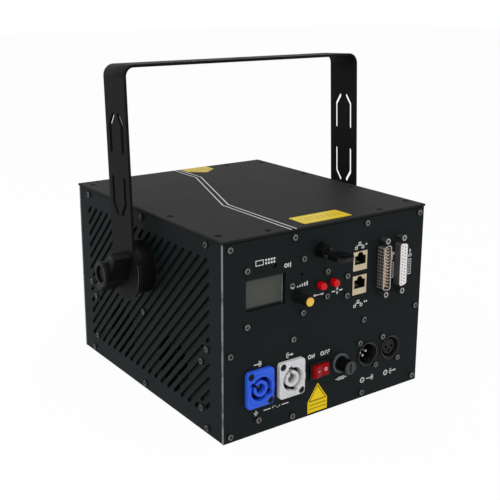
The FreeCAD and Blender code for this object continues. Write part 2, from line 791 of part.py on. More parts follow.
def rear_screws():
    """Panel screws, board screws, socket screws and the earth screw."""
    screws = [placed(button_screw(), rear(p, 0), OUT_REAR) for p in end_screw_places()]
    board_screws = corners_of(DISPLAY_HOLES_AT, DISPLAY_HOLES) + button_board_screws()
    screws += [placed(button_screw(BOARD_IN + BOARD_THICK), rear(p, 0), OUT_REAR) for p in board_screws]
    screws += [placed(button_screw(), rear(p, 0), OUT_REAR) for p in network_screws()]
    for p in POWER_PLACES:
        screws += [placed(button_screw(), rear(q, POWER_FLANGE_THICK - SCREW_HEAD_HIGH), OUT_REAR)
                   for q in flange_screws(p)]
    for p in SIGNAL_PLACES:
        screws += [placed(button_screw(), rear(q, 0), OUT_REAR) for q in flange_screws(p)]
    washer = rear_rod(EARTH_AT, EARTH_WASHER_R, 0, EARTH_WASHER_THICK)
    earth = placed(button_screw(), rear(EARTH_AT, EARTH_WASHER_THICK), OUT_REAR)
    return screws + [washer.fuse(earth).removeSplitter()]


def front_screws():
    screws = [placed(button_screw(), V(x, END_OUT, z), OUT_FRONT) for x, z in front_frame_places()]
    face = END_OUT + BEZEL_THICK
    return screws + [placed(button_screw(), V(x, face, z), OUT_FRONT) for x, z in bezel_screw_places()]


# Yoke and hand knobs
def yoke_profile():
    """The bent strap seen along Y: a U with rounded corners, standing on the pivot line."""
    half_in, half_out = YOKE_IN, YOKE_OUT
    top = PIVOT_Z + YOKE_RISE
    inner_r = YOKE_BEND_R - YOKE_THICK

    def half_arc(reach, high, radius):
        bend = radius * (1 - math.sqrt(0.5))
        return V(reach, 0, high - radius), V(reach - bend, 0, high - bend), V(reach - radius, 0, high)

    o1, o2, o3 = half_arc(half_out, top, YOKE_BEND_R)
    i1, i2, i3 = half_arc(half_in, top - YOKE_THICK, inner_r)

    def flip(p):
        return V(-p.x, p.y, p.z)

    foot_out = V(half_out, 0, PIVOT_Z)
    foot_in = V(half_in, 0, PIVOT_Z)
    curves = [
        Part.LineSegment(foot_out, o1), Part.Arc(o1, o2, o3), Part.LineSegment(o3, flip(o3)),
        Part.Arc(flip(o3), flip(o2), flip(o1)), Part.LineSegment(flip(o1), flip(foot_out)),
        Part.LineSegment(flip(foot_out), flip(foot_in)), Part.LineSegment(flip(foot_in), flip(i1)),
        Part.Arc(flip(i1), flip(i2), flip(i3)), Part.LineSegment(flip(i3), i3),
        Part.Arc(i3, i2, i1), Part.LineSegment(i1, foot_in), Part.LineSegment(foot_in, foot_out),
    ]
    return Part.Face(Part.Wire([c.toShape() for c in curves]))


def yoke_slots():
    """Two pairs of bent slots in each arm, each pair closing towards its far end."""
    depth = V(2 * YOKE_OUT, 0, 0)
    cuts = []
    upper_start = YOKE_SLOT_NEAR + YOKE_SLOT_GAP
    for start, way in ((YOKE_SLOT_NEAR, -1), (upper_start, 1)):
        for side in (-1, 1):
            low = V(-YOKE_OUT, side * YOKE_SLOT_OFFSET, PIVOT_Z + start)
            bend = low + UP * (way * YOKE_SLOT_STRAIGHT)
            tip = V(low.x, side * YOKE_SLOT_TIP, bend.z + way * YOKE_SLOT_SLANT)
            cuts.append(slot(low, bend, YOKE_SLOT_WIDTH, depth))
            cuts.append(slot(bend, tip, YOKE_SLOT_WIDTH, depth))
    return cuts


def yoke():
    """The strap yoke, leaned to its rest angle about the pivots."""
    strap = yoke_profile().extrude(V(0, YOKE_WIDTH, 0))
    strap.translate(V(0, -YOKE_WIDTH / 2, 0))
    disc = rod(YOKE_DISC_R, V(YOKE_IN, 0, PIVOT_Z), V(YOKE_OUT, 0, PIVOT_Z))
    body = fuse_all([strap, disc, mirrored(disc)])
    top = PIVOT_Z + YOKE_RISE
    cuts = yoke_slots()
    cuts.append(rod(STUD_R + STUD_FIT, V(-YOKE_OUT, 0, PIVOT_Z), V(YOKE_OUT, 0, PIVOT_Z)))
    cuts.append(rod(YOKE_HOLE_R, V(0, 0, top - YOKE_THICK), V(0, 0, top)))
    return body.cut(cuts).rotated(V(0, 0, PIVOT_Z), V(1, 0, 0), -YOKE_TILT)


def hand_knob():
    """The +X clamping knob: a two-winged head with a dished crown, on a threaded stud."""
    base = YOKE_OUT + FACE_CLEAR
    face = base + KNOB_HEAD_HIGH
    crown_face = face + KNOB_CROWN_HIGH

    def on_axis(x):
        return V(x, 0, PIVOT_Z)

    tip, waist = KNOB_WING_TIP / 2, KNOB_WING_WAIST / 2
    outline = [
        (-tip, KNOB_WING_REACH), (tip, KNOB_WING_REACH), (waist, 0),
        (tip, -KNOB_WING_REACH), (-tip, -KNOB_WING_REACH), (-waist, 0),
    ]
    wings = prism([V(base + KNOB_WING_LIFT, y, PIVOT_Z + z) for y, z in outline],
                  V(KNOB_HEAD_HIGH - KNOB_WING_LIFT, 0, 0))
    wings = round_corners(wings, KNOB_WING_ROUND, "x")
    wings = soften(wings, KNOB_EDGE_ROUND, "x", face)
    hub = rod(KNOB_HUB_R, on_axis(base), on_axis(face))
    crown = rod(KNOB_CROWN_R, on_axis(face), on_axis(crown_face))
    crown = soften(crown, KNOB_EDGE_ROUND, "x", crown_face)
    stud = rod(STUD_R, on_axis(SIDE_IN - PIVOT_PLATE_THICK), on_axis(base))
    dish = rod(KNOB_DISH_R, on_axis(crown_face - KNOB_DISH_DEEP), on_axis(crown_face))
    knob = fuse_all([hub, wings, crown, stud]).cut(dish)
    return knob.rotated(on_axis(0), V(1, 0, 0), KNOB_TURN)


# Fans
def fan_plane():
    """Where the fans' outer faces meet the fan plate."""
    return -SIDE_IN + FAN_PLATE_THICK


def fan_plate():
    """The liner of the left vents: open at the two fans, with a notch for the pivot plate."""
    thick = (-SIDE_IN, fan_plane())
    top = RAIL_Z - LID_GAP
    plate = block(thick, (-FAN_PLATE_END, FAN_PLATE_END), (FAN_Z - FAN_PLATE_DROP, top))
    notch = PIVOT_PLATE_WIDTH / 2 + LID_GAP
    cuts = [block(thick, (-notch, notch), (pivot_plate_low() - LID_GAP, top))]
    cuts += [rod(FAN_BORE_R, V(-SIDE_IN, y, FAN_Z), V(fan_plane(), y, FAN_Z)) for y in (-FAN_Y, FAN_Y)]
    cuts += [rod(SCREW_R + THREAD_FIT, V(-SIDE_IN, y, z), V(fan_plane(), y, z)) for y, z in fan_screw_places()]
    return plate.cut(cuts)


def fan_frame(y):
    """A square fan frame with three spokes and a bearing boss at its inner end."""
    start = fan_plane()
    end = start + FAN_DEPTH
    half = FAN_SIZE / 2
    middle = V(start, y, FAN_Z)
    ring = block((start, end), (y - half, y + half), (FAN_Z - half, FAN_Z + half))
    ring = ring.cut(rod(FAN_BORE_R, middle, V(end, y, FAN_Z)))
    inner = end - FAN_SPOKE_THICK
    pieces = [ring, rod(FAN_HUB_R, V(inner, y, FAN_Z), V(end, y, FAN_Z))]
    for i in range(3):
        spoke = block((inner, end), (y - FAN_SPOKE / 2, y + FAN_SPOKE / 2),
                      (FAN_Z, FAN_Z + FAN_BORE_R + FAN_SPOKE / 4))
        pieces.append(spoke.rotated(middle, V(1, 0, 0), 120 * i))
    return fuse_all(pieces).cut(rod(FAN_SHAFT_R + SHAFT_FIT, middle, V(end, y, FAN_Z)))


def fan_rotor(y):
    """Hub, shaft and pitched blades, turning clear of the frame."""
    start = fan_plane() + FAN_TIP_GAP / 2
    end = fan_plane() + FAN_DEPTH - FAN_SPOKE_THICK - FAN_TIP_GAP / 2
    middle = V((start + end) / 2, y, FAN_Z)
    hub = rod(FAN_HUB_R, V(start, y, FAN_Z), V(end, y, FAN_Z))
    shaft = rod(FAN_SHAFT_R, V(end, y, FAN_Z), V(fan_plane() + FAN_DEPTH, y, FAN_Z))
    half_chord = FAN_BLADE_CHORD / 2
    blade = block((middle.x - half_chord, middle.x + half_chord),
                  (y - FAN_BLADE_THICK / 2, y + FAN_BLADE_THICK / 2),
                  (FAN_Z + FAN_HUB_R - FAN_BLADE_THICK, FAN_Z + FAN_BORE_R - FAN_TIP_GAP))
    blade = blade.rotated(middle, UP, FAN_BLADE_PITCH)
    blades = [blade.rotated(middle, V(1, 0, 0), 360 / FAN_BLADES * i) for i in range(FAN_BLADES)]
    return fuse_all([hub, shaft] + blades)


# Display and boards
def display_frame():
    outer = (DISPLAY_SIZE[0] + 2 * DISPLAY_WALL, DISPLAY_SIZE[1] + 2 * DISPLAY_WALL)
    collar = rear_block(DISPLAY_AT, outer, -PANEL_THICK, -BOARD_IN)
    return collar.cut(rear_block(DISPLAY_AT, DISPLAY_SIZE, -PANEL_THICK, -BOARD_IN))


def display_screen():
    size = (DISPLAY_SIZE[0] - 2 * HOLE_CLEAR, DISPLAY_SIZE[1] - 2 * HOLE_CLEAR)
    return rear_block(DISPLAY_AT, size, -BOARD_IN, -BOARD_IN + SCREEN_THICK)


def board(place, size, out, holes):
    plate = rear_block(place, size, -out, -out - BOARD_THICK)
    return plate.cut([rear_rod(p, SCREW_R + THREAD_FIT, -out, -out - BOARD_THICK) for p in holes])


def panel_boards():
    """The display board, the button board and the network board."""
    display_size = (DISPLAY_HOLES[0] + 2 * BOARD_MARGIN, DISPLAY_HOLES[1] + 2 * BOARD_MARGIN)
    display = board(DISPLAY_HOLES_AT, display_size, BOARD_IN, corners_of(DISPLAY_HOLES_AT, DISPLAY_HOLES))
    parts = [rear_rod(p, r, -PANEL_THICK, -BOARD_IN) for p, r in ((MIC_AT, MIC_R), (LED_AT, LED_R))]
    buttons = board(BUTTON_PAIR_AT, BUTTON_BOARD, BOARD_IN, button_board_screws())
    network_low = jack_places()[0][1] - JACK_SIZE[1] / 2
    network_high = jack_places()[1][1] + JACK_SIZE[1] / 2
    left = NETWORK_HOLE_X - BOARD_MARGIN
    right = JACK_AT[0] + JACK_SIZE[0] / 2
    network_place = ((left + right) / 2, (network_low + network_high) / 2)
    network = board(network_place, (right - left, network_high - network_low), JACK_DEEP, [])
    return [fuse_all([display] + parts), buttons, network]


def standoffs():
    """Spacer tubes behind the panel, and the legs of the optical deck and of the driver boards."""
    bore = SCREW_R + THREAD_FIT
    short = corners_of(DISPLAY_HOLES_AT, DISPLAY_HOLES) + button_board_screws()
    tubes = [tube(SPACER_TUBE_R, bore, rear(p, -PANEL_THICK), rear(p, -BOARD_IN)) for p in short]
    tubes += [tube(SPACER_TUBE_R, bore, rear(p, -PANEL_THICK), rear(p, -JACK_DEEP)) for p in network_screws()]
    legs = [rod(BENCH_LEG_R, V(x, y, BASE_THICK), V(x, y, BENCH_Z)) for x, y in bench_leg_places()]
    for place in DRIVER_AT:
        inset = (DRIVER_SIZE[0] - 4 * DRIVER_LEG_R, DRIVER_SIZE[1] - 4 * DRIVER_LEG_R)
        legs += [rod(DRIVER_LEG_R, V(x, y, BASE_THICK), V(x, y, BASE_THICK + DRIVER_LEG_HIGH))
                 for x, y in corners_of(place, inset)]
    return tubes + legs


# Function knob
def encoder_body():
    case = rear_block(ENCODER_AT, (ENCODER_SIZE, ENCODER_SIZE), -PANEL_THICK, -BOARD_IN)
    bush = rear_rod(ENCODER_AT, BUSH_R, -PANEL_THICK, BUSH_OUT)
    bore_end = -PANEL_THICK - SHAFT_FOOT - 2 * PUSH_TRAVEL
    return fuse_all([case, bush]).cut(rear_rod(ENCODER_AT, SHAFT_R + SHAFT_FIT, BUSH_OUT, bore_end))


def encoder_shaft():
    return rear_rod(ENCODER_AT, SHAFT_R, -PANEL_THICK - SHAFT_FOOT, SHAFT_OUT)


def function_knob():
    """A fluted knob with a skirt, hollow over the bush and recessed for its cap."""
    skirt_top = KNOB_STANDOFF + KNOB_SKIRT_HIGH
    skirt = rear_rod(ENCODER_AT, KNOB_SKIRT_R, KNOB_STANDOFF, skirt_top)
    grip = rear_rod(ENCODER_AT, KNOB_TOP_R, skirt_top, KNOB_OUT)
    knob = fuse_all([skirt, grip])
    cuts = [
        rear_rod(ENCODER_AT, BUSH_R + HOLE_CLEAR, KNOB_STANDOFF, BUSH_OUT + PUSH_TRAVEL),
        rear_rod(ENCODER_AT, SHAFT_R + SHAFT_FIT, KNOB_STANDOFF, SHAFT_OUT),
        rear_rod(ENCODER_AT, CAP_R + HOLE_CLEAR / 2, KNOB_OUT - CAP_DEEP, KNOB_OUT),
    ]
    for i in range(KNOB_FLUTES):
        turn = 2 * math.pi / KNOB_FLUTES * i
        place = shifted(ENCODER_AT, KNOB_TOP_R * math.cos(turn), KNOB_TOP_R * math.sin(turn))
        cuts.append(rear_rod(place, KNOB_FLUTE_R, skirt_top, KNOB_OUT))
    return knob.cut(cuts)


def knob_cap():
    cap = rear_rod(ENCODER_AT, CAP_R, KNOB_OUT - CAP_DEEP, KNOB_OUT + CAP_PROUD)
    notch = rear_block(shifted(ENCODER_AT, 0, CAP_R), (CAP_NOTCH, CAP_R), KNOB_OUT, KNOB_OUT + CAP_PROUD)
    return cap.cut(notch)


# Push buttons
def button_places():
    return [shifted(BUTTON_PAIR_AT, side * BUTTON_SPACING / 2, 0) for side in (-1, 1)]


def button_switches():
    """Square switch bodies between the panel and their board."""
    bodies = []
    for place in button_places():
        body = rear_block(place, (SWITCH_SIZE, SWITCH_SIZE), -PANEL_THICK, -BOARD_IN)
        bodies.append(body.cut(rear_rod(place, BUTTON_R + SHAFT_FIT, -PANEL_THICK, -BOARD_IN + SWITCH_FLOOR)))
    return bodies


def push_button(place):
    foot = -BOARD_IN + SWITCH_FLOOR + BUTTON_TRAVEL + BUTTON_CLEAR
    cap = rear_rod(place, BUTTON_R, foot, BUTTON_OUT)
    return soften(cap, BUTTON_ROUND, "y", rear(place, BUTTON_OUT).y)


# Key switch
def lock_barrel():
    flange = rear_rod(LOCK_AT, LOCK_FLANGE_R, 0, LOCK_FLANGE_HIGH)
    barrel = rear_rod(LOCK_AT, LOCK_BARREL_R, 0, LOCK_BARREL_OUT)
    barrel = soften(barrel, EDGE_ROUND, "y", rear(LOCK_AT, LOCK_BARREL_OUT).y)
    body = rear_rod(LOCK_AT, LOCK_BODY_R, 0, -LOCK_BODY_DEEP)
    points = [rear(shifted(LOCK_AT, LOCK_NUT_R * math.cos(a), LOCK_NUT_R * math.sin(a)), -PANEL_THICK)
              for a in [math.radians(60 * i) for i in range(6)]]
    nut = prism(points, V(0, LOCK_NUT_THICK, 0))
    bore = rear_rod(LOCK_AT, PLUG_R + PLUG_FIT, -PLUG_DEEP, LOCK_BARREL_OUT)
    return fuse_all([flange, barrel, body, nut]).cut(bore)


def key():
    """The turning plug of the lock with the key standing in it, its bow lying flat."""
    plug = rear_rod(LOCK_AT, PLUG_R, -PLUG_DEEP + PLUG_FIT, LOCK_BARREL_OUT + PLUG_PROUD)
    bow_start = LOCK_BARREL_OUT + PLUG_PROUD + KEY_NECK
    bow_end = bow_start + KEY_BOW[1]
    blade = rear_block(LOCK_AT, (KEY_BLADE, KEY_THICK), LOCK_BARREL_OUT, bow_start + KEY_NECK)
    bow = rear_block(LOCK_AT, (KEY_BOW[0], KEY_BOW_THICK), bow_start, bow_end)
    bow = round_corners(bow, KEY_BOW_ROUND, "z")
    eye = rear(LOCK_AT, bow_end - KEY_BOW_ROUND)
    high = UP * KEY_BOW_THICK
    bow = bow.cut(rod(KEY_RING_R, eye - high, eye + high))
    return fuse_all([plug, blade, bow])


# Network jacks
def jack_places():
    return [shifted(JACK_AT, 0, side * JACK_PITCH / 2) for side in (-1, 1)]


def network_jack(place):
    """A shielded jack with a stepped mouth for the plug's latch."""
    shell = rear_block(place, JACK_SIZE, JACK_PROUD, -JACK_DEEP)
    sill = place[1] - JACK_SIZE[1] / 2 + JACK_SILL
    widths = (JACK_MOUTH,) + JACK_STEPS
    cuts = []
    for width, high in widths:
        cuts.append(rear_block((place[0], sill + high / 2), (width, high), JACK_PROUD, -JACK_MOUTH_DEEP))
        sill += high
    return shell.cut(cuts)


def jack_wires(place):
    """Eight contact wires, slanting up from the floor of the mouth to its back."""
    sill = place[1] - JACK_SIZE[1] / 2 + JACK_SILL
    wires = []
    for i in range(JACK_WIRES):
        x = place[0] + (i - JACK_WIRES / 2) * JACK_WIRE_PITCH
        outline = [
            rear((x, sill), -JACK_WIRE_START),
            rear((x, sill), -JACK_WIRE_START - JACK_WIRE_DEEP),
            rear((x, sill + JACK_WIRE_RISE - JACK_WIRE_DEEP), -JACK_MOUTH_DEEP),
            rear((x, sill + JACK_WIRE_RISE), -JACK_MOUTH_DEEP),
        ]
        wires.append(prism(outline, V(JACK_WIRE, 0, 0)))
    return wires


# Data plug and socket
def d_shape(kind, grow, out_from, out_to):
    """The D outline of a plug or socket, drawn out from the panel."""
    x, size, long_side = kind
    half_w, half_l = size[0] / 2 + grow, size[1] / 2 + grow
    short = half_l - 2 * half_w * math.tan(math.radians(DATA_SLOPE))
    corners = [(half_w, half_l), (-half_w, short), (-half_w, -short), (half_w, -half_l)]
    points = [rear((x + long_side * dx, DATA_Z + dz), out_from) for dx, dz in corners]
    solid = prism(points, rear((x, DATA_Z), out_to) - rear((x, DATA_Z), out_from))
    return round_corners(solid, DATA_ROUND + min(grow, 0), "y")


def jackscrew_places():
    return [(x, DATA_Z + side * JACKSCREW_SPACING / 2) for x in (DATA_IN_X, DATA_OUT_X) for side in (-1, 1)]


def data_shell(kind):
    """A D shell with its fixing flange behind the panel."""
    flange_back = -PANEL_THICK - DATA_FLANGE_THICK
    flange = rear_block((kind[0], DATA_Z), DATA_FLANGE, -PANEL_THICK, flange_back)
    shell = d_shape(kind, 0, -PANEL_THICK, DATA_RIM_OUT)
    holes = [rear_rod(p, SCREW_R + HOLE_CLEAR, -PANEL_THICK, flange_back) for p in jackscrew_places()]
    bore = d_shape(kind, -DATA_SHELL_WALL, flange_back, DATA_RIM_OUT)
    return fuse_all([flange, shell]).cut(holes + [bore])


def pin_places(kind):
    """Two rows of contacts, the longer row on the long side of the D."""
    x, size, long_side = kind
    places = []
    for row, count in ((long_side, PIN_LONG_ROW), (-long_side, PIN_LONG_ROW - 1)):
        for i in range(count):
            places.append((x + row * PIN_ROWS / 2, DATA_Z + (i - (count - 1) / 2) * PIN_PITCH))
    return places


def data_insert(kind, face):
    """The moulding inside a shell, from its face back to the solder side."""
    return d_shape(kind, -DATA_SHELL_WALL, -PANEL_THICK - DATA_BODY_DEEP, face)


def data_socket_insert():
    insert = data_insert(DATA_OUT, DATA_RIM_OUT)
    deep = DATA_RIM_OUT - SOCKET_HOLE_DEEP
    return insert.cut([rear_rod(p, SOCKET_HOLE_R, deep, DATA_RIM_OUT) for p in pin_places(DATA_OUT)])


def jackscrew(place):
    points = [rear(shifted(place, JACKSCREW_R * math.cos(a), JACKSCREW_R * math.sin(a)), 0)
              for a in [math.radians(60 * i) for i in range(6)]]
    post = prism(points, V(0, -JACKSCREW_OUT, 0))
    stud = rear_rod(place, SCREW_R, 0, -JACKSCREW_DEEP)
    bore = rear_rod(place, JACKSCREW_BORE_R, JACKSCREW_OUT - JACKSCREW_BORE_DEEP, JACKSCREW_OUT)
    return fuse_all([post, stud]).cut(bore)


# Power sockets
def power_socket(place, key_turn):
    """A locking mains socket: a thick flange, a deep round mouth and a hollow keyed core."""
    flange = rear_block(place, FLANGE, 0, POWER_FLANGE_THICK)
    flange = round_corners(flange, FLANGE_ROUND, "y")
    flange = soften(flange, POWER_EDGE, "y", rear(place, POWER_FLANGE_THICK).y)
    face = POWER_FLANGE_THICK + POWER_RING_PROUD
    ring = rear_rod(place, POWER_RING_R, 0, face)
    body = rear_rod(place, POWER_BODY_R, 0, -POWER_BODY_DEEP)
    shell = fuse_all([flange, ring, body])
    floor = face - POWER_MOUTH_DEEP
    mouth = [rear_rod(place, POWER_MOUTH_R, floor, face)]
    key_size = (2 * (POWER_MOUTH_R + POWER_KEY_REACH), POWER_KEY_WIDTH)
    keyway = rear_block(place, key_size, floor, face).common(
        rear_rod(place, POWER_MOUTH_R + POWER_KEY_REACH, floor, face))
    mouth.append(keyway.rotated(rear(place, 0), V(0, 1, 0), key_turn))
    screw_holes = [rear_rod(p, SCREW_R + THREAD_FIT, -SCREW_LENGTH, face) for p in flange_screws(place)]
    screw_seats = [rear_rod(p, SCREW_HEAD_R + HOLE_CLEAR, POWER_FLANGE_THICK - SCREW_HEAD_HIGH, face)
                   for p in flange_screws(place)]
    shell = shell.cut(mouth + screw_holes + screw_seats)
    core = rear_rod(place, POWER_CORE_R, floor, face - POWER_CORE_SINK)
    core = core.cut(rear_rod(place, POWER_CORE_BORE_R, floor, face))
    slit = rear_block(shifted(place, -POWER_CORE_R, 0), (2 * POWER_CORE_R, POWER_KEY_WIDTH / 2), floor, face)
    core = core.cut(slit.rotated(rear(place, 0), V(0, 1, 0), key_turn))
    return fuse_all([shell, core])


def power_blades(place):
    """Three contact blades standing in the hollow core."""
    floor = POWER_FLANGE_THICK + POWER_RING_PROUD - POWER_MOUTH_DEEP
    thick, wide, long = POWER_BLADE
    blade = rear_block(shifted(place, 0, POWER_BLADE_R), (wide, thick), floor, floor + long)
    return [blade.rotated(rear(place, 0), V(0, 1, 0), 120 * i) for i in range(3)]


# Signal sockets
def signal_shell(place):
    """A round cup with a stepped mouth, its flange behind the panel."""
    flange_back = -PANEL_THICK - SIGNAL_FLANGE_THICK
    flange = rear_block(place, FLANGE, -PANEL_THICK, flange_back)
    flange = round_corners(flange, FLANGE_ROUND, "y")
    body = rear_rod(place, SIGNAL_BODY_R, -SIGNAL_BODY_DEEP, SIGNAL_RIM_OUT)
    mouth = rear_rod(place, SIGNAL_MOUTH_R, SIGNAL_RIM_OUT - SIGNAL_MOUTH_DEEP, SIGNAL_RIM_OUT)
    cup = rear_rod(place, SIGNAL_CUP_R, signal_floor(), SIGNAL_RIM_OUT)
    holes = [rear_rod(p, SCREW_R + THREAD_FIT, flange_back, 0) for p in flange_screws(place)]
    return fuse_all([flange, body]).cut([mouth, cup] + holes)


def signal_contacts(place):
    """Three contacts: two across the middle and one below."""
    steps = [(-1, 0), (1, 0), (0, -1)]
    return [shifted(place, SIGNAL_PIN_RING * i, SIGNAL_PIN_RING * j) for i, j in steps]


def signal_floor():
    return SIGNAL_RIM_OUT - SIGNAL_CUP_DEEP


def signal_inserts():
    """The floor disc of the pin side and the drilled core of the hole side."""
    disc_r = SIGNAL_CUP_R - SIGNAL_FIT
    floor_top = signal_floor() + SIGNAL_FLOOR
    disc = rear_rod(SIGNAL_IN_AT, disc_r, signal_floor(), floor_top)
    face = SIGNAL_RIM_OUT - SIGNAL_CORE_SINK
    core = rear_rod(SIGNAL_OUT_AT, SIGNAL_CORE_R, signal_floor(), face)
    foot = rear_rod(SIGNAL_OUT_AT, disc_r, signal_floor(), floor_top)
    deep = face - SIGNAL_HOLE_DEEP
    holes = [rear_rod(p, SIGNAL_HOLE_R, deep, face) for p in signal_contacts(SIGNAL_OUT_AT)]
    return [disc, fuse_all([core, foot]).cut(holes)]


def signal_pins():
    start = signal_floor() + SIGNAL_FLOOR
    end = start + SIGNAL_PIN_LONG
    pins = []
    for place in signal_contacts(SIGNAL_IN_AT):
        pin = rear_rod(place, SIGNAL_PIN_R, start, end)
        pins.append(soften(pin, SIGNAL_PIN_R / 2, "y", rear(place, end).y))
    return pins


def contact_pins():
    """Every bare contact: data pins, signal pins, jack wires and mains blades."""
    pins = [rear_rod(p, PIN_R, DATA_PLUG_FACE, PIN_OUT) for p in pin_places(DATA_IN)]
    pins += signal_pins()
    for place in jack_places():
        pins += jack_wires(place)
    for place in POWER_PLACES:
        pins += power_blades(place)
    return pins


# Rocker switch
def rocker_axis():
    return rear(ROCKER_AT, ROCKER_AXIS_OUT)


def rocker_frame():
    bezel = rear_block(ROCKER_AT, ROCKER_BEZEL, 0, ROCKER_BEZEL_OUT)
    bezel = round_corners(bezel, ROCKER_BEZEL_ROUND, "y")
    body = rear_block(ROCKER_AT, ROCKER_BODY, 0, -ROCKER_BODY_DEEP)
    well_size = (2 * (ROCKER_SWING_R + ROCKER_CLEAR), ROCKER_WIDTH + 2 * ROCKER_CLEAR)
    well = rear_block(ROCKER_AT, well_size, -ROCKER_WELL, ROCKER_BEZEL_OUT)
    reach = UP * (ROCKER_WIDTH / 2 + ROCKER_CLEAR + ROCKER_PIN_LONG)
    sockets = rod(ROCKER_PIN_R + ROCKER_PIN_FIT, rocker_axis() - reach, rocker_axis() + reach)
    return fuse_all([bezel, body]).cut([well, sockets])


def rocker():
    """A shallow V of a button that swings on two pins, leaned to its off side."""
    axis = rocker_axis()
    reach = ROCKER_SWING_R
    outline = [
        (-reach, -ROCKER_FLOOR), (reach, -ROCKER_FLOOR),
        (reach, ROCKER_END_HIGH), (0, ROCKER_MID_HIGH), (-reach, ROCKER_END_HIGH),
    ]
    half = UP * (ROCKER_WIDTH / 2)
    points = [axis - half + V(x, -out, 0) for x, out in outline]
    swept = rod(ROCKER_SWING_R, axis - half, axis + half)
    body = prism(points, half * 2).common(swept)
    pin_reach = half + UP * (ROCKER_CLEAR + ROCKER_PIN_LONG / 2)
    pins = rod(ROCKER_PIN_R, axis - pin_reach, axis + pin_reach)
    return fuse_all([body, pins]).rotated(axis, UP, ROCKER_LEAN)


# Fuse
def fuse_holder():
    flange = rear_rod(FUSE_AT, FUSE_FLANGE_R, 0, FUSE_FLANGE_OUT)
    flange = soften(flange, EDGE_ROUND, "y", rear(FUSE_AT, FUSE_FLANGE_OUT).y)
    body = rear_rod(FUSE_AT, FUSE_BODY_R, 0, -FUSE_BODY_DEEP)
    bore_deep = FUSE_LONG + 2 * FUSE_FIT
    bore = rear_rod(FUSE_AT, FUSE_TUBE_R + FUSE_BORE_FIT, -bore_deep, FUSE_FLANGE_OUT)
    return fuse_all([flange, body]).cut(bore)


def fuse_cap():
    """The ribbed bayonet cap with the fuse held in its tube."""
    foot = FUSE_FLANGE_OUT + FUSE_CAP_STANDOFF
    head = rear_rod(FUSE_AT, FUSE_CAP_R, foot, FUSE_CAP_OUT)
    head = soften(head, EDGE_ROUND, "y", rear(FUSE_AT, FUSE_CAP_OUT).y)
    stem = rear_rod(FUSE_AT, FUSE_TUBE_R, -FUSE_TUBE_DEEP, foot)
    wide, tall, deep = FUSE_CAP_SLOT
    cuts = [
        rear_rod(FUSE_AT, FUSE_R + FUSE_FIT, -FUSE_TUBE_DEEP, 0),
        rear_block(FUSE_AT, (wide, tall), FUSE_CAP_OUT - deep, FUSE_CAP_OUT),
    ]
    for i in range(FUSE_CAP_RIBS):
        turn = 2 * math.pi / FUSE_CAP_RIBS * i
        place = shifted(FUSE_AT, FUSE_CAP_R * math.cos(turn), FUSE_CAP_R * math.sin(turn))
        cuts.append(rear_rod(place, FUSE_CAP_RIB_R, foot, FUSE_CAP_OUT))
    fuse = rear_rod(FUSE_AT, FUSE_R, -FUSE_LONG, 0)
    return [fuse_all([head, stem]).cut(cuts), fuse]


# Optical deck
def bench_leg_places():
    x = BENCH_HALF_WIDTH - BENCH_LEG_INSET[0]
    return [(side * x, y) for side in (-1, 1)
            for y in (BENCH_BACK_Y + BENCH_LEG_INSET[1], BENCH_FRONT_Y - BENCH_LEG_INSET[1])]


def optical_bench():
    return block((-BENCH_HALF_WIDTH, BENCH_HALF_WIDTH), (BENCH_BACK_Y, BENCH_FRONT_Y), (BENCH_Z, BENCH_TOP))


def laser_module(x):
    """A finned block with a lens barrel that fires along +Y."""
    wide, long, high = LASER_SIZE
    front = LASER_BACK_Y + long
    body = block((x - wide / 2, x + wide / 2), (LASER_BACK_Y, front), (BENCH_TOP, BENCH_TOP + high))
    gap = wide / (2 * LASER_FINS + 1)
    top = BENCH_TOP + high
    fins = []
    for i in range(LASER_FINS):
        left = x - wide / 2 + gap * (2 * i + 1)
        fins.append(block((left, left + gap), (LASER_BACK_Y, front), (top - LASER_FIN_DEEP, top)))
    barrel = rod(LASER_LENS_R, V(x, front, BEAM_Z), V(x, front + LASER_LENS_LONG, BEAM_Z))
    return fuse_all([body.cut(fins), barrel])


def turned_block(x, size, z):
    """A block on the combining line, turned to face the lasers and the scanner alike."""
    piece = block((-size[0] / 2, size[0] / 2), (-size[1] / 2, size[1] / 2), z)
    return piece.rotated(V(0, 0, 0), UP, MIRROR_LEAN).translated(V(x, COMBINER_Y, 0))


def mirror_mounts():
    return [turned_block(x, MIRROR_BLOCK, (BENCH_TOP, BEAM_Z - MIRROR_SIZE / 2)) for x in LASER_X]


def combiner_mirrors():
    high = (BEAM_Z - MIRROR_SIZE / 2, BEAM_Z + MIRROR_SIZE / 2)
    return [turned_block(x, (MIRROR_SIZE, MIRROR_THICK), high) for x in LASER_X]


# Scanner: the first mirror turns the beam up, the second sends it out of the window
def scan_x_line():
    """The first shaft, along Y: where its mirror is and where its motor starts and ends."""
    start = COMBINER_Y - SCAN_MOTOR_OFF
    return V(0, COMBINER_Y, BEAM_Z), V(0, start, BEAM_Z), V(0, start - SCAN_MOTOR_LONG, BEAM_Z)


def scan_y_line():
    """The second shaft, along X, above the first."""
    end = SCAN_MOTOR_OFF + SCAN_MOTOR_LONG
    return V(0, COMBINER_Y, SCAN_Z), V(SCAN_MOTOR_OFF, COMBINER_Y, SCAN_Z), V(end, COMBINER_Y, SCAN_Z)


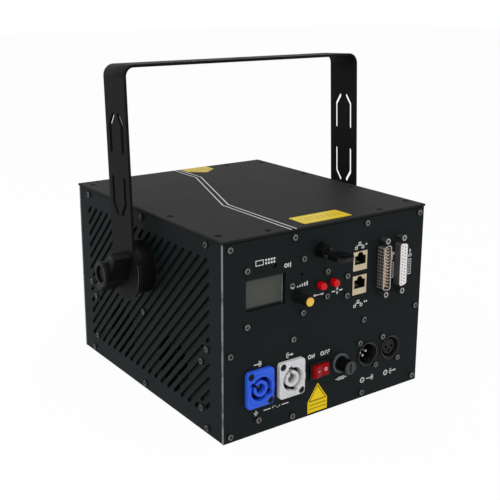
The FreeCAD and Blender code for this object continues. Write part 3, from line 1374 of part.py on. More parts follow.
def scanner_block():
    grip = SCAN_MOTOR_R + SCAN_WALL
    inset = (SCAN_MOTOR_LONG - SCAN_WALL_LONG) / 2
    x_mirror, x_near, x_far = scan_x_line()
    y_mirror, y_near, y_far = scan_y_line()
    floor = (BENCH_TOP, BENCH_TOP + SCAN_FLOOR)
    pieces = [
        block((-grip, y_far.x - inset), (x_far.y + inset, COMBINER_Y + grip), floor),
        block((-grip, grip), (x_far.y + inset, x_near.y - inset), (floor[1], BEAM_Z + grip)),
        block((y_near.x + inset, y_far.x - inset), (COMBINER_Y - grip, COMBINER_Y + grip),
              (floor[1], SCAN_Z + grip)),
    ]
    bores = [rod(SCAN_MOTOR_R + SCAN_MOTOR_FIT, a, b) for a, b in ((x_near, x_far), (y_near, y_far))]
    return fuse_all(pieces).cut(bores)


def scanner_motors():
    motors = []
    for mirror, near, far in (scan_x_line(), scan_y_line()):
        motor = rod(SCAN_MOTOR_R, near, far)
        bore_end = near + (far - near) * SCAN_BORE_SHARE
        motors.append(motor.cut(rod(SCAN_SHAFT_R + SCAN_SHAFT_FIT, near, bore_end)))
    return motors


def scan_rotor(line, size, facing):
    """A shaft with a mirror plate clamped on its end, leaned half way between the beams."""
    mirror, near, far = line
    inward = (near - mirror).normalize()
    clamp_start = near - inward * SCAN_CLAMP_GAP
    clamp_end = mirror + inward * (size[0] / 2 - SCAN_CLAMP_GAP)
    shaft = rod(SCAN_SHAFT_R, near + (far - near) * SCAN_SHAFT_SHARE, clamp_start)
    clamp = rod(SCAN_CLAMP_R, clamp_start, clamp_end)
    half = V(size[0], size[1], SCAN_MIRROR_THICK) * 0.5
    plate = Part.makeBox(2 * half.x, 2 * half.y, 2 * half.z, -half)
    across = facing.cross(inward)
    turn = FreeCAD.Rotation(inward, across, facing, "XYZ")
    plate.Placement = FreeCAD.Placement(mirror, turn)
    return fuse_all([shaft, clamp, plate])


def x_scan_rotor():
    return scan_rotor(scan_x_line(), SCAN_X_MIRROR, V(-1, 0, 1).normalize())


def y_scan_rotor():
    return scan_rotor(scan_y_line(), SCAN_Y_MIRROR, V(0, 1, -1).normalize())


# Power supply and driver boards
def power_supply():
    """An enclosed supply with a slotted cover."""
    wide, long, high = SUPPLY_SIZE
    x, y = SUPPLY_AT
    top = BASE_THICK + high
    box = block((x - wide / 2, x + wide / 2), (y - long / 2, y + long / 2), (BASE_THICK, top))
    vent_wide, vent_long, vent_deep = SUPPLY_VENT
    vents = []
    for i in range(SUPPLY_VENTS):
        middle = y + (i - (SUPPLY_VENTS - 1) / 2) * SUPPLY_VENT_PITCH
        span_y = (middle - vent_wide / 2, middle + vent_wide / 2)
        vents.append(block((x - vent_long / 2, x + vent_long / 2), span_y, (top - vent_deep, top)))
    return box.cut(vents)


def driver_board(place):
    """A board with a heat sink and a row of power chips."""
    low = BASE_THICK + DRIVER_LEG_HIGH
    top = low + BOARD_THICK
    x, y = place
    wide, long = DRIVER_SIZE
    plate = block((x - wide / 2, x + wide / 2), (y - long / 2, y + long / 2), (low, top))
    sink_wide, sink_long, sink_high = DRIVER_SINK
    right = x + wide / 2
    sink = block((right - sink_wide, right), (y - sink_long / 2, y + sink_long / 2), (top, top + sink_high))
    chip_wide, chip_long, chip_high = DRIVER_CHIP
    left = x - wide / 2
    chips = []
    for i in range(DRIVER_CHIPS):
        middle = y + (i - (DRIVER_CHIPS - 1) / 2) * 2 * chip_long
        chips.append(block((left, left + chip_wide), (middle - chip_long / 2, middle + chip_long / 2),
                           (top, top + chip_high)))
    return fuse_all([plate, sink] + chips)


def nodes():
    """Every piece, or group of like pieces, by the name of its file."""
    right_panel = side_panel([])
    left_panel = mirrored(side_panel(fan_screw_places()))
    right_knob = hand_knob()
    button_x, button_y = [push_button(p) for p in button_places()]
    rear_fan, front_fan = [fan_rotor(y) for y in (-FAN_Y, FAN_Y)]
    return {
        "base_plate": [base_plate()],
        "top_cover": [top_cover()],
        "left_panel": [left_panel],
        "right_panel": [right_panel],
        "rear_panel": [rear_panel()],
        "front_panel": [front_panel()],
        "frame_posts": frame_posts(),
        "frame_rails": frame_rails(),
        "pivot_plates": pivot_plates(),
        "pivot_spacers": pivot_spacers(),
        "top_screws": top_screws(),
        "side_screws": side_screws(),
        "rear_screws": rear_screws(),
        "front_screws": front_screws(),
        "fan_plate": [fan_plate()],
        "fan_frames": [fan_frame(y) for y in (-FAN_Y, FAN_Y)],
        "rear_fan_rotor": [rear_fan],
        "front_fan_rotor": [front_fan],
        "window_bezel": [window_bezel()],
        "window_glass": [window_glass()],
        "yoke": [yoke()],
        "left_knob": [mirrored(right_knob)],
        "right_knob": [right_knob],
        "display_frame": [display_frame()],
        "display_screen": [display_screen()],
        "panel_boards": panel_boards(),
        "standoffs": standoffs(),
        "encoder_body": [encoder_body()],
        "encoder_shaft": [encoder_shaft()],
        "function_knob": [function_knob()],
        "knob_cap": [knob_cap()],
        "button_switches": button_switches(),
        "x_button": [button_x],
        "y_button": [button_y],
        "lock_barrel": [lock_barrel()],
        "key": [key()],
        "network_jacks": [network_jack(p) for p in jack_places()],
        "data_shells": [data_shell(DATA_IN), data_shell(DATA_OUT)],
        "data_plug_insert": [data_insert(DATA_IN, DATA_PLUG_FACE)],
        "data_socket_insert": [data_socket_insert()],
        "jackscrews": [jackscrew(p) for p in jackscrew_places()],
        "contact_pins": contact_pins(),
        "power_inlet": [power_socket(POWER_IN_AT, POWER_IN_KEY_TURN)],
        "power_outlet": [power_socket(POWER_OUT_AT, POWER_OUT_KEY_TURN)],
        "signal_shells": [signal_shell(p) for p in SIGNAL_PLACES],
        "signal_inserts": signal_inserts(),
        "rocker_frame": [rocker_frame()],
        "rocker": [rocker()],
        "fuse_holder": [fuse_holder()],
        "fuse_cap": fuse_cap(),
        "optical_bench": [optical_bench()],
        "laser_modules": [laser_module(x) for x in LASER_X],
        "mirror_mounts": mirror_mounts(),
        "combiner_mirrors": combiner_mirrors(),
        "scanner_block": [scanner_block()],
        "scanner_motors": scanner_motors(),
        "x_scan_rotor": [x_scan_rotor()],
        "y_scan_rotor": [y_scan_rotor()],
        "power_supply": [power_supply()],
        "driver_boards": [driver_board(p) for p in DRIVER_AT],
    }


os.makedirs("parts", exist_ok=True)
for name, pieces in nodes().items():
    Part.makeCompound(pieces).exportStep("parts/" + name + ".step")
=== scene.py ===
import math

import bmesh
import bpy
from bpy.props import FloatProperty, FloatVectorProperty, PointerProperty
from mathutils import Matrix, Vector


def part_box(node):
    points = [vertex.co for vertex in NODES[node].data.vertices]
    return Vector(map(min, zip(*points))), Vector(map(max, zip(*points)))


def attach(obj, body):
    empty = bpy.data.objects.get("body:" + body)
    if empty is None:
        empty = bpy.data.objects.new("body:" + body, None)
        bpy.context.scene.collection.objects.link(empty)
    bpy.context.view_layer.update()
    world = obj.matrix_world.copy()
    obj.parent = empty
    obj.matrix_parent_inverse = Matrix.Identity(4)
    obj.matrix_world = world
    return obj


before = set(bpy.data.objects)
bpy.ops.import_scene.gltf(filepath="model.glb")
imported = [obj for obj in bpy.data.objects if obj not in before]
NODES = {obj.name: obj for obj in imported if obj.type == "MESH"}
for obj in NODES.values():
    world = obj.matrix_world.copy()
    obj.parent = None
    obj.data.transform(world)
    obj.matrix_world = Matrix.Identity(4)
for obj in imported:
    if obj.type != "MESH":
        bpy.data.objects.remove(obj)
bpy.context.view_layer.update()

bl_info = {
    "name": "Laser Show Projector",
    "version": (1, 0, 0),
    "blender": (4, 5, 0),
    "location": "View3D > Sidebar > Projector",
    "description": "Finishes, printed marks and a small studio for a boxed laser show projector",
    "category": "Object",
}

MM = 0.001
REAR_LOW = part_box("rear_panel")[0]
REAR_Y = REAR_LOW.y
LID_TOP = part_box("top_cover")[1].z


def centre(node):
    """Middle of a node's box."""
    low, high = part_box(node)
    return (Vector(low) + Vector(high)) / 2


def colour(name, description, default):
    return FloatVectorProperty(name=name, description=description, subtype="COLOR", size=3, min=0, max=1,
                               default=default)


def length(name, description, default):
    return FloatProperty(name=name, description=description, subtype="DISTANCE", unit="LENGTH", min=0,
                         default=default)


def power(name, description, default):
    return FloatProperty(name=name, description=description, subtype="POWER", min=0, default=default)


class ProjectorColours(bpy.types.PropertyGroup):
    """Colours of the paint, the mouldings and the print."""
    case_paint: colour("Case Paint", "Powder coat of the panels", (0.0060, 0.0094, 0.0097))
    lid_paint: colour("Lid Paint", "Powder coat of the top cover", (0.0142, 0.0140, 0.0133))
    yoke_paint: colour("Yoke Paint", "Powder coat of the yoke", (0.0062, 0.0066, 0.0074))
    # The next colour is a painted highlight along an edge, broken into patches like rubbed coat.
    edge_highlight: colour("Rubbed Edge", "Where the coat has worn thin along an edge", (0.20, 0.21, 0.23))
    black_moulding: colour("Black Moulding", "Black plastic of knobs and frames", (0.0075, 0.0075, 0.0085))
    blue_moulding: colour("Blue Moulding", "Power inlet", (0.029, 0.116, 0.740))
    white_moulding: colour("White Moulding", "Power outlet and socket insulator", (0.700, 0.690, 0.710))
    red_moulding: colour("Red Moulding", "Rocker and push buttons", (0.860, 0.003, 0.006))
    yellow_moulding: colour("Yellow Moulding", "Cap of the function knob", (0.900, 0.560, 0.090))
    label_yellow: colour("Label Yellow", "Blank adhesive labels", (0.940, 0.680, 0.012))
    print_white: colour("Print White", "Screen print on the panel", (0.760, 0.760, 0.750))
    screen_grey: colour("Screen Grey", "Unlit display", (0.066, 0.070, 0.060))
    nickel: colour("Nickel", "Plated shells", (0.640, 0.600, 0.570))


class ProjectorSizes(bpy.types.PropertyGroup):
    """Sizes of the print and the labels."""
    ink: length("Ink", "Thickness of the screen print", 0.05 * MM)
    stroke: length("Stroke", "Width of a printed line", 0.8 * MM)
    label: length("Label", "Thickness of an adhesive label", 0.15 * MM)
    stripe: length("Stripe", "Width of each pinstripe on the lid", 1.0 * MM)
    stripe_gap: length("Stripe Gap", "Distance between the two pinstripes", 5.0 * MM)
    # The next width is that of the painted edge highlight.
    edge: length("Edge", "Width of the rubbed edge", 0.45 * MM)


class ProjectorStudio(bpy.types.PropertyGroup):
    """Camera and light."""
    lens: FloatProperty(name="Lens", description="Focal length on a 36 mm sensor", unit="CAMERA", min=1,
                        default=63.24)
    drop: FloatProperty(name="Drop", description="Vertical shift of the view", default=-0.08)
    key: power("Key", "Power of the overhead softbox", 13.0)
    fill: power("Fill", "Power of the side softbox", 2.6)
    rim: power("Rim", "Power of the softbox ahead of the unit", 4.5)
    glow: FloatProperty(name="Glow", description="Share of the floor that is seen unshaded", min=0, max=1,
                        default=0.95)
    ambient: FloatProperty(name="Ambient", description="Strength of the room's light", min=0, default=0.62)


def scaled(tint, level):
    """A colour made lighter or darker."""
    return [c * level for c in tint]


class Value:
    """A socket of a finish; arithmetic on it adds Math nodes."""

    def __init__(self, finish, socket):
        self.finish = finish
        self.socket = socket

    def maths(self, operation, *operands):
        return self.finish.node("ShaderNodeMath", {"operation": operation}, dict(enumerate(operands)))

    def __add__(self, other):
        return self.maths("ADD", self, other)

    def __radd__(self, other):
        return self.maths("ADD", other, self)

    def __sub__(self, other):
        return self.maths("SUBTRACT", self, other)

    def __rsub__(self, other):
        return self.maths("SUBTRACT", other, self)

    def __mul__(self, other):
        return self.maths("MULTIPLY", self, other)

    def __rmul__(self, other):
        return self.maths("MULTIPLY", other, self)

    def __truediv__(self, other):
        return self.maths("DIVIDE", self, other)

    def __abs__(self):
        return self.maths("ABSOLUTE", self)

    def __lt__(self, other):
        return self.maths("LESS_THAN", self, other)

    def __gt__(self, other):
        return self.maths("GREATER_THAN", self, other)

    def least(self, other):
        return self.maths("MINIMUM", self, other)

    def most(self, other):
        return self.maths("MAXIMUM", self, other)

    def wrap(self, pitch):
        """Distance from the nearest multiple of a pitch."""
        return self.maths("PINGPONG", self, pitch / 2)

    def root(self):
        return self.maths("SQRT", self)

    def ease(self, low, high, at_low=0.0, at_high=1.0):
        """A smooth step from one value to another."""
        return self.finish.node("ShaderNodeMapRange", {"interpolation_type": "SMOOTHSTEP", "clamp": True},
                                {"Value": self, "From Min": low, "From Max": high, "To Min": at_low,
                                 "To Max": at_high})


def reach(across, along):
    """Distance from an axis, by the two coordinates that cross it."""
    return (across * across + along * along).root()


# Sockets of a colour mix, whose names repeat
MIX_SHARE, MIX_FIRST, MIX_SECOND, MIX_COLOUR = 0, 6, 7, 2


class Finish:
    """A procedural material that reads the object's own coordinates, in metres."""

    def __init__(self, name):
        self.material = bpy.data.materials.new(name)
        self.material.use_nodes = True
        self.tree = self.material.node_tree
        self.shader = self.tree.nodes["Principled BSDF"]
        self.place = self.node("ShaderNodeTexCoord", {}, {}, "Object")
        axes = self.node("ShaderNodeSeparateXYZ", {}, {0: self.place})
        self.x, self.y, self.z = [Value(self, s) for s in axes.socket.node.outputs]

    def node(self, kind, choices, inputs, output=0):
        """Adds a node, makes its choices, then sets or links its sockets; gives one output back."""
        made = self.tree.nodes.new(kind)
        for name, choice in choices.items():
            setattr(made, name, choice)
        for name, given in inputs.items():
            if isinstance(given, Value):
                self.tree.links.new(given.socket, made.inputs[name])
            else:
                made.inputs[name].default_value = given
        return Value(self, made.outputs[output])

    def speckle(self, size, detail=3.0, rough=0.55):
        """Even noise whose grains are about this size."""
        inputs = {"Vector": self.place, "Scale": 1 / size, "Detail": detail, "Roughness": rough}
        return self.node("ShaderNodeTexNoise", {}, inputs, "Fac")

    def borders(self, size):
        """Distance from the borders between cells of about this size."""
        return self.node("ShaderNodeTexVoronoi", {"feature": "DISTANCE_TO_EDGE"},
                         {"Vector": self.place, "Scale": 1 / size}, "Distance")

    def mix(self, share, first, second):
        """One colour over another, by a share of the second."""
        def tint(c):
            return c if isinstance(c, Value) else (*c, 1)
        return self.node("ShaderNodeMix", {"data_type": "RGBA"},
                         {MIX_SHARE: share, MIX_FIRST: tint(first), MIX_SECOND: tint(second)}, MIX_COLOUR)

    def shade(self, tint, low, high, share):
        """A colour scaled between two levels by a share."""
        return self.mix(share, scaled(tint, low), [min(c, 1.0) for c in scaled(tint, high)])

    def relief(self, height, depth, over=None):
        """Bumps of a given depth in metres, over an earlier relief if there is one."""
        inputs = {"Height": height, "Distance": depth, "Strength": 1.0}
        if over is not None:
            inputs["Normal"] = over
        return self.node("ShaderNodeBump", {}, inputs)

    def done(self, **sockets):
        """Sets the shader's sockets by name, with spaces written as underscores."""
        for name, given in sockets.items():
            socket = self.shader.inputs[name.replace("_", " ")]
            if isinstance(given, Value):
                self.tree.links.new(given.socket, socket)
            elif socket.type == "RGBA":
                socket.default_value = (*given, 1)
            else:
                socket.default_value = given
        return self.material


# Colours of small parts and of what lies inside
DUST_GREY = (0.10, 0.10, 0.10)
BOARD_GREEN, TRACE_GREEN, BOARD_BLACK = (0.008, 0.060, 0.022), (0.030, 0.130, 0.045), (0.004, 0.004, 0.004)
SILVER = (0.80, 0.82, 0.84)
GLASS_TINT, GLASS_COVER = (0.035, 0.042, 0.050), 0.45
BASE_METAL, DECK_METAL, MOUNT_METAL = (0.30, 0.31, 0.32), (0.030, 0.030, 0.032), (0.10, 0.10, 0.105)
STANDOFF_STEEL, SUPPLY_STEEL, JACKSCREW_STEEL = (0.50, 0.50, 0.50), (0.40, 0.40, 0.40), (0.44, 0.43, 0.42)
BUSH_NICKEL, SHIELD_TIN = (0.55, 0.55, 0.54), (0.55, 0.47, 0.32)
CONTACT_TIN, CONTACT_GOLD = (0.66, 0.66, 0.64), (0.86, 0.74, 0.56)
# The second oxide colour is a painted highlight for the screw crowns.
OXIDE_BLACK, OXIDE_GLINT = (0.008, 0.008, 0.009), (0.30, 0.28, 0.29)
# The second screen colour is a painted highlight along its right edge.
SCREEN_BORDER, SCREEN_EDGE_HIGHLIGHT = (0.020, 0.022, 0.022), (0.34, 0.35, 0.34)
# The first fuse colour is a painted highlight on the flange rim.
FUSE_RIM_HIGHLIGHT, FUSE_END_GREY = (0.085, 0.095, 0.115), (0.060, 0.064, 0.070)
# The last socket colour is painted shade down the holes.
PLUG_TAN, SOCKET_WHITE, SOCKET_HOLE_SHADE = (0.72, 0.56, 0.40), (0.88, 0.86, 0.85), (0.010, 0.010, 0.012)
PLATE_INK, HOUSE_INK, SCUFFED = (0.025, 0.024, 0.020), (0.030, 0.020, 0.010), (0.70, 0.66, 0.50)
# Grain, reach and angle in the finishes
DRAWN_LINE = 0.5 * MM
CUTTER_LINE = 4 * MM
BOARD_FRONT = 6.9 * MM
WELD_REACH = 0.002 * MM
MERGE_REACH = 0.001 * MM
SHARP = math.radians(35)


def powder_coat(name, tint, edge=None, marks=None, gloss=0.60, shine=0.099, glint=1.0):
    """Fine-grained powder coat with soft mottling, and with printed marks or a painted edge highlight where
    given; the highlight is broken into patches like rubbed coat.
    """
    colours = bpy.context.scene.projector_colours
    f = Finish(name)
    grain = f.speckle(0.9 * MM, 2.0)
    cloud = f.speckle(45 * MM, 4.0)
    dust = f.speckle(7 * MM, 6.0, 0.7).ease(0.58, 0.80)
    base = f.shade(tint, 0.82, 1.20, cloud)
    base = f.mix(dust * 0.05, base, DUST_GREY)
    rough = cloud * 0.10 + grain * 0.10 + (gloss - 0.10)
    if edge is not None:
        width = bpy.context.scene.projector_sizes.edge
        # Painted highlight along the given edge, in patches like rubbed coat, scaled by the given strength.
        patchy = f.speckle(9 * MM, 4.0).ease(0.30, 0.55, 0.35, 1.0)
        wear_and_glint = edge(f).ease(width * 0.35, width, 1.0, 0.0) * patchy * glint
        base = f.mix(wear_and_glint, base, colours.edge_highlight)
        rough = rough - wear_and_glint * 0.10
    if marks is not None:
        ink = marks(f)
        base = f.mix(ink * 0.92, base, colours.print_white)
        rough = rough + ink * 0.06
    return f.done(Base_Color=base, Roughness=rough, Specular_IOR_Level=shine,
                  Normal=f.relief(grain, 0.05 * MM))


def moulding(name, tint, gloss=0.38, grain_size=0.5 * MM, grain_deep=0.018 * MM, coat=0.0, shine=0.136):
    """Moulded plastic: a fine spark texture, slight flow marks and uneven gloss."""
    f = Finish(name)
    grain = f.speckle(grain_size, 2.0)
    flow = f.speckle(14 * MM, 3.0)
    scuff = f.speckle(4 * MM, 5.0, 0.7).ease(0.60, 0.78)
    base = f.shade(tint, 0.88, 1.12, flow)
    rough = flow * 0.10 + scuff * 0.14 + (gloss - 0.05)
    return f.done(Base_Color=base, Roughness=rough, Normal=f.relief(grain, grain_deep), Coat_Weight=coat,
                  Specular_IOR_Level=shine)


def plated(name, tint, rough=0.24, streak=(1.0, 1.0, 1.0), dimples_and_glints=None, metal=1.0):
    """Plated metal with fine drawing lines along one axis and a little staining."""
    f = Finish(name)
    cloud = f.speckle(6 * MM, 4.0)
    drawn = f.node("ShaderNodeMapping", {}, {"Vector": f.place, "Scale": streak})
    lines = f.node("ShaderNodeTexNoise", {},
                   {"Vector": drawn, "Scale": 1 / DRAWN_LINE, "Detail": 2.0}, "Fac")
    base = f.shade(tint, 0.72, 1.10, cloud)
    normal = f.relief(lines, 0.006 * MM)
    if dimples_and_glints is not None:
        # Painted highlights on the dimples and rims, and painted dark reflection on the walls between.
        relief_and_glint = dimples_and_glints(f)
        base = f.mix(relief_and_glint, scaled(tint, 0.10), base)
        normal = f.relief(relief_and_glint, 0.25 * MM, normal)
    return f.done(Base_Color=base, Metallic=metal, Roughness=cloud * 0.16 + lines * 0.08 + (rough - 0.08),
                  Normal=normal)


def anodised(name, tint, rough=0.40):
    """Machined and anodised metal with fine cutter lines."""
    f = Finish(name)
    lines = f.node("ShaderNodeTexWave", {"wave_type": "BANDS", "bands_direction": "X"},
                   {"Vector": f.place, "Scale": 1 / CUTTER_LINE, "Distortion": 1.5, "Detail": 2.0}, "Fac")
    cloud = f.speckle(20 * MM, 4.0)
    base = f.shade(tint, 0.80, 1.15, cloud)
    return f.done(Base_Color=base, Metallic=0.85, Roughness=cloud * 0.15 + (rough - 0.07),
                  Normal=f.relief(lines, 0.010 * MM))


def circuit(name):
    """Green board with traces under the lacquer; what stands up to the panel is black."""
    f = Finish(name)
    runs = f.borders(5 * MM).ease(0.02, 0.06, 1.0, 0.0)
    base = f.mix(runs, BOARD_GREEN, TRACE_GREEN)
    base = f.mix(f.y < REAR_Y + BOARD_FRONT, base, BOARD_BLACK)
    return f.done(Base_Color=base, Roughness=0.35, Normal=f.relief(runs, 0.03 * MM))


def looking_glass(name):
    """Front-silvered mirror with a little haze."""
    f = Finish(name)
    haze = f.speckle(3 * MM, 4.0)
    return f.done(Base_Color=SILVER, Metallic=1.0, Roughness=haze * 0.05 + 0.01)


def filter_glass(name):
    """Tinted window glass."""
    f = Finish(name)
    smear = f.speckle(18 * MM, 4.0)
    f.material.surface_render_method = "DITHERED"
    return f.done(Base_Color=GLASS_TINT, Roughness=smear * 0.06 + 0.02, Alpha=GLASS_COVER, Coat_Weight=0.2)


def dress(material, *names):
    """Gives CAD nodes one material."""
    for name in names:
        mesh = NODES[name].data
        mesh.materials.clear()
        mesh.materials.append(material)


def crisp(width, *names):
    """Breaks the sharp edges of CAD nodes, so that they catch the light."""
    for name in names:
        node = NODES[name]
        weld = node.modifiers.new("Weld", "WELD")
        weld.merge_threshold = WELD_REACH
        bevel = node.modifiers.new("Edge", "BEVEL")
        bevel.width = width
        bevel.segments = 2
        bevel.limit_method = "ANGLE"
        bevel.angle_limit = SHARP
        bevel.use_clamp_overlap = True


# Flat pieces on the panel and the lid
def new_piece(name, bm, material, body):
    """A finished piece from a bmesh, riding on a body."""
    bmesh.ops.remove_doubles(bm, verts=bm.verts, dist=MERGE_REACH)
    bmesh.ops.recalc_face_normals(bm, faces=bm.faces)
    mesh = bpy.data.meshes.new(name)
    bm.to_mesh(mesh)
    bm.free()
    piece = bpy.data.objects.new(name, mesh)
    bpy.context.scene.collection.objects.link(piece)
    mesh.materials.append(material)
    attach(piece, body)
    return piece


class Print:
    """Flat shapes in millimetres, drawn on a plane and then given a thickness."""

    def __init__(self, stroke):
        self.bm = bmesh.new()
        self.stroke = stroke / MM

    def add(self, made, at, size=(1, 1), turn=0.0):
        """Sizes, turns and moves what a create operator made."""
        verts = made["verts"]
        matrix = Matrix.Translation((*at, 0)) @ Matrix.Rotation(math.radians(turn), 4, "Z")
        matrix = matrix @ Matrix.Diagonal((*size, 1, 1))
        bmesh.ops.transform(self.bm, matrix=matrix, verts=verts)
        return verts

    def bar(self, at, size, turn=0.0):
        made = bmesh.ops.create_grid(self.bm, x_segments=1, y_segments=1, size=0.5)
        return self.add(made, at, size, turn)

    def line(self, start, end):
        run = Vector(end) - Vector(start)
        middle = (Vector(start) + Vector(end)) / 2
        self.bar(middle, (run.length + self.stroke, self.stroke), math.degrees(math.atan2(run.y, run.x)))

    def dot(self, at, radius, sides=20):
        made = bmesh.ops.create_circle(self.bm, cap_ends=True, segments=sides, radius=radius)
        return self.add(made, at)

    def head(self, at, size, turn):
        """The point of an arrow."""
        made = bmesh.ops.create_circle(self.bm, cap_ends=True, segments=3, radius=size)
        self.add(made, at, turn=turn - 90)

    def hollow(self, verts):
        """Leaves a stroke round the outline of one face."""
        face = verts[0].link_faces[0]
        bmesh.ops.inset_individual(self.bm, faces=[face], thickness=self.stroke)
        bmesh.ops.delete(self.bm, geom=[face], context="FACES")

    def ring(self, at, radius, sides=32):
        self.hollow(self.dot(at, radius, sides))

    def frame(self, at, size):
        self.hollow(self.bar(at, size))

    def arrow(self, start, end, size=1.5):
        run = Vector(end) - Vector(start)
        turn = math.degrees(math.atan2(run.y, run.x))
        self.line(start, Vector(end) - run.normalized() * size)
        self.head(Vector(end) - run.normalized() * size * 0.6, size, turn)

    def stand(self, thick, matrix):
        """Gives the shapes their thickness and puts them in place, in metres."""
        made = bmesh.ops.extrude_face_region(self.bm, geom=self.bm.faces[:])
        verts = [v for v in made["geom"] if isinstance(v, bmesh.types.BMVert)]
        bmesh.ops.translate(self.bm, verts=verts, vec=(0, 0, thick / MM))
        bmesh.ops.transform(self.bm, matrix=matrix @ Matrix.Scale(MM, 4), verts=self.bm.verts)
        return self.bm


UPRIGHT = Matrix.Rotation(math.radians(90), 4, "X")


def on_rear():
    """Takes (x, z) drawn flat to the outer face of the rear panel."""
    return Matrix.Translation((0, REAR_Y, 0)) @ UPRIGHT


def on_lid():
    """Takes (x, y) drawn flat to the top of the lid."""
    return Matrix.Translation((0, 0, LID_TOP))


# Places on the rear panel, (x, z) in millimetres
LEGEND = {
    "display": (-65.8, 142.2), "microphone": (-46.0, 135.6), "turn": (-32.1, 117.2),
    "flip_x": (-12.3, 104.8), "flip_y": (7.4, 104.3), "jack_upper": (30.8, 139.0), "jack_lower": (31.0, 88.4),
    "data_in": (69.0, 115.0), "data_out": (90.0, 114.4), "power_in": (-72.7, 59.7),
    "power_out": (-41.0, 59.9), "switch": (-10.6, 52.6), "fuse": (14.6, 25.0), "signal_in": (44.3, 16.4),
    "signal_out": (71.8, 16.2), "earth": (-74.0, 18.4), "rating": (-54.0, 18.6),
}
EARTH_AT = (-72.6, 12.6)
# Corners of the lid's bent line, (x, y) in millimetres
STRIPE = ((2.6, 124.0), (2.6, 80.8), (-39.2, -29.0), (-39.2, -125.0))
# Labels in millimetres: the lid's has its middle and size, each house its middle and half width, then
# its foot, shoulder and point; the lid's house points to the rear, so its heights are -y
LID_LABEL_AT, LID_LABEL_SIZE, LID_LABEL_ROUND = (1.8, -106.0), (50.0, 21.4), 1.6
REAR_HOUSE_ACROSS, REAR_HOUSE_UP = (-11.0, 10.4), (2.2, 12.5, 27.5)
LID_HOUSE_ACROSS, LID_HOUSE_UP = (22.6, 15.0), (-122.3, -107.0, -95.6)
FADED_YELLOW = (0.60, 0.42, 0.020)
LABEL_SHINE = 0.074
# Lengths in metres and angles in degrees
EARTH_REACH = 4.2 * MM
EARTH_WASHER = 0.8 * MM
ROCKER_LEAN = 9.0
ROCKER_SLOPE = 9.6
ROCKER_PIN_OUT = 0.6 * MM
ROCKER_MARK_ASIDE = 4.1 * MM
ROCKER_MARK_OUT = 3.66 * MM
YOKE_DISC_R = 26.2 * MM
YOKE_THICK = 2.4 * MM
YOKE_RIM_TOP = 10 * MM
LID_SKIN = 0.3 * MM
FUSE_RIM = (7.2 * MM, 7.8 * MM)
SCREEN_PIXEL = 0.5 * MM
DATA_SPLIT_X = 66 * MM
GOLD_FROM_Z = 80 * MM


def lid_stripes(f):
    """Two pinstripes that keep the same distance from one bent line."""
    sizes = bpy.context.scene.projector_sizes
    nearest = None
    for (ax, ay), (bx, by) in zip(STRIPE, STRIPE[1:]):
        run_x, run_y = (bx - ax) * MM, (by - ay) * MM
        to_x, to_y = f.x - ax * MM, f.y - ay * MM
        along = ((to_x * run_x + to_y * run_y) / (run_x ** 2 + run_y ** 2)).most(0.0).least(1.0)
        distance = reach(to_x - along * run_x, to_y - along * run_y)
        nearest = distance if nearest is None else nearest.least(distance)
    from_stripe = abs(nearest - sizes.stripe_gap / 2)
    upward = f.z > LID_TOP - LID_SKIN
    return from_stripe.ease(sizes.stripe * 0.35, sizes.stripe * 0.60, 1.0, 0.0) * upward


def rear_edge(f):
    """Distance from the left edge of the rear panel."""
    return f.x - REAR_LOW.x


def side_edge(f):
    """Distance from the rear edge of a side panel."""
    return f.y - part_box("left_panel")[0].y


def disc_edge(f):
    """Distance from the two sharp rims of each round end of the yoke."""
    pivot = centre("pivot_spacers")
    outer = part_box("yoke")[1].x
    high = f.z - pivot.z
    rim = abs(YOKE_DISC_R - reach(f.y - pivot.y, high))
    face = (outer - abs(f.x)).least(abs(f.x) - (outer - YOKE_THICK))
    return rim.most(face) + (high > YOKE_RIM_TOP)


class PROJECTOR_OT_case(bpy.types.Operator):
    """Powder coats the sheet metal and prints the lid"""
    bl_idname = "projector.case"
    bl_label = "Case"

    def execute(self, context):
        colours = context.scene.projector_colours
        paint = colours.case_paint[:]
        # The side panels take the case paint darkened to 0.88, with less shine, as painted shade.
        side = powder_coat("coat_side", scaled(paint, 0.88), side_edge, shine=0.068)
        lid = powder_coat("coat_lid", colours.lid_paint[:], marks=lid_stripes, shine=0.055)
        # The rear, front and side coats carry a painted highlight along the left edges of the rear and front
        # panels and the rear edges of the side panels.
        dress(powder_coat("coat_rear", paint, rear_edge, shine=0.087), "rear_panel", "front_panel")
        dress(side, "left_panel", "right_panel")
        dress(lid, "top_cover")
        dress(powder_coat("coat_bezel", paint), "window_bezel")
        dress(anodised("base_metal", BASE_METAL), "base_plate")
        return {"FINISHED"}


class PROJECTOR_OT_yoke(bpy.types.Operator):
    """Finishes the yoke, its bosses and the hand knobs"""
    bl_idname = "projector.yoke"
    bl_label = "Yoke"

    def execute(self, context):
        colours = context.scene.projector_colours
        # The bosses and hand knobs take the black moulding at 0.6, a painted shade.
        black = scaled(colours.black_moulding, 0.6)
        # The yoke coat has painted highlights along the rims of its round ends.
        coat = powder_coat("coat_yoke", colours.yoke_paint[:], disc_edge, gloss=0.55, shine=0.043, glint=0.35)
        grip = moulding("knob_moulding", black, 0.40, grain_size=0.8 * MM, grain_deep=0.03 * MM, shine=0.081)
        dress(coat, "yoke")
        dress(moulding("boss_moulding", black, 0.42, shine=0.099), "pivot_spacers")
        dress(grip, "left_knob", "right_knob")
        crisp(0.35 * MM, "yoke")
        crisp(0.25 * MM, "pivot_spacers")
        return {"FINISHED"}


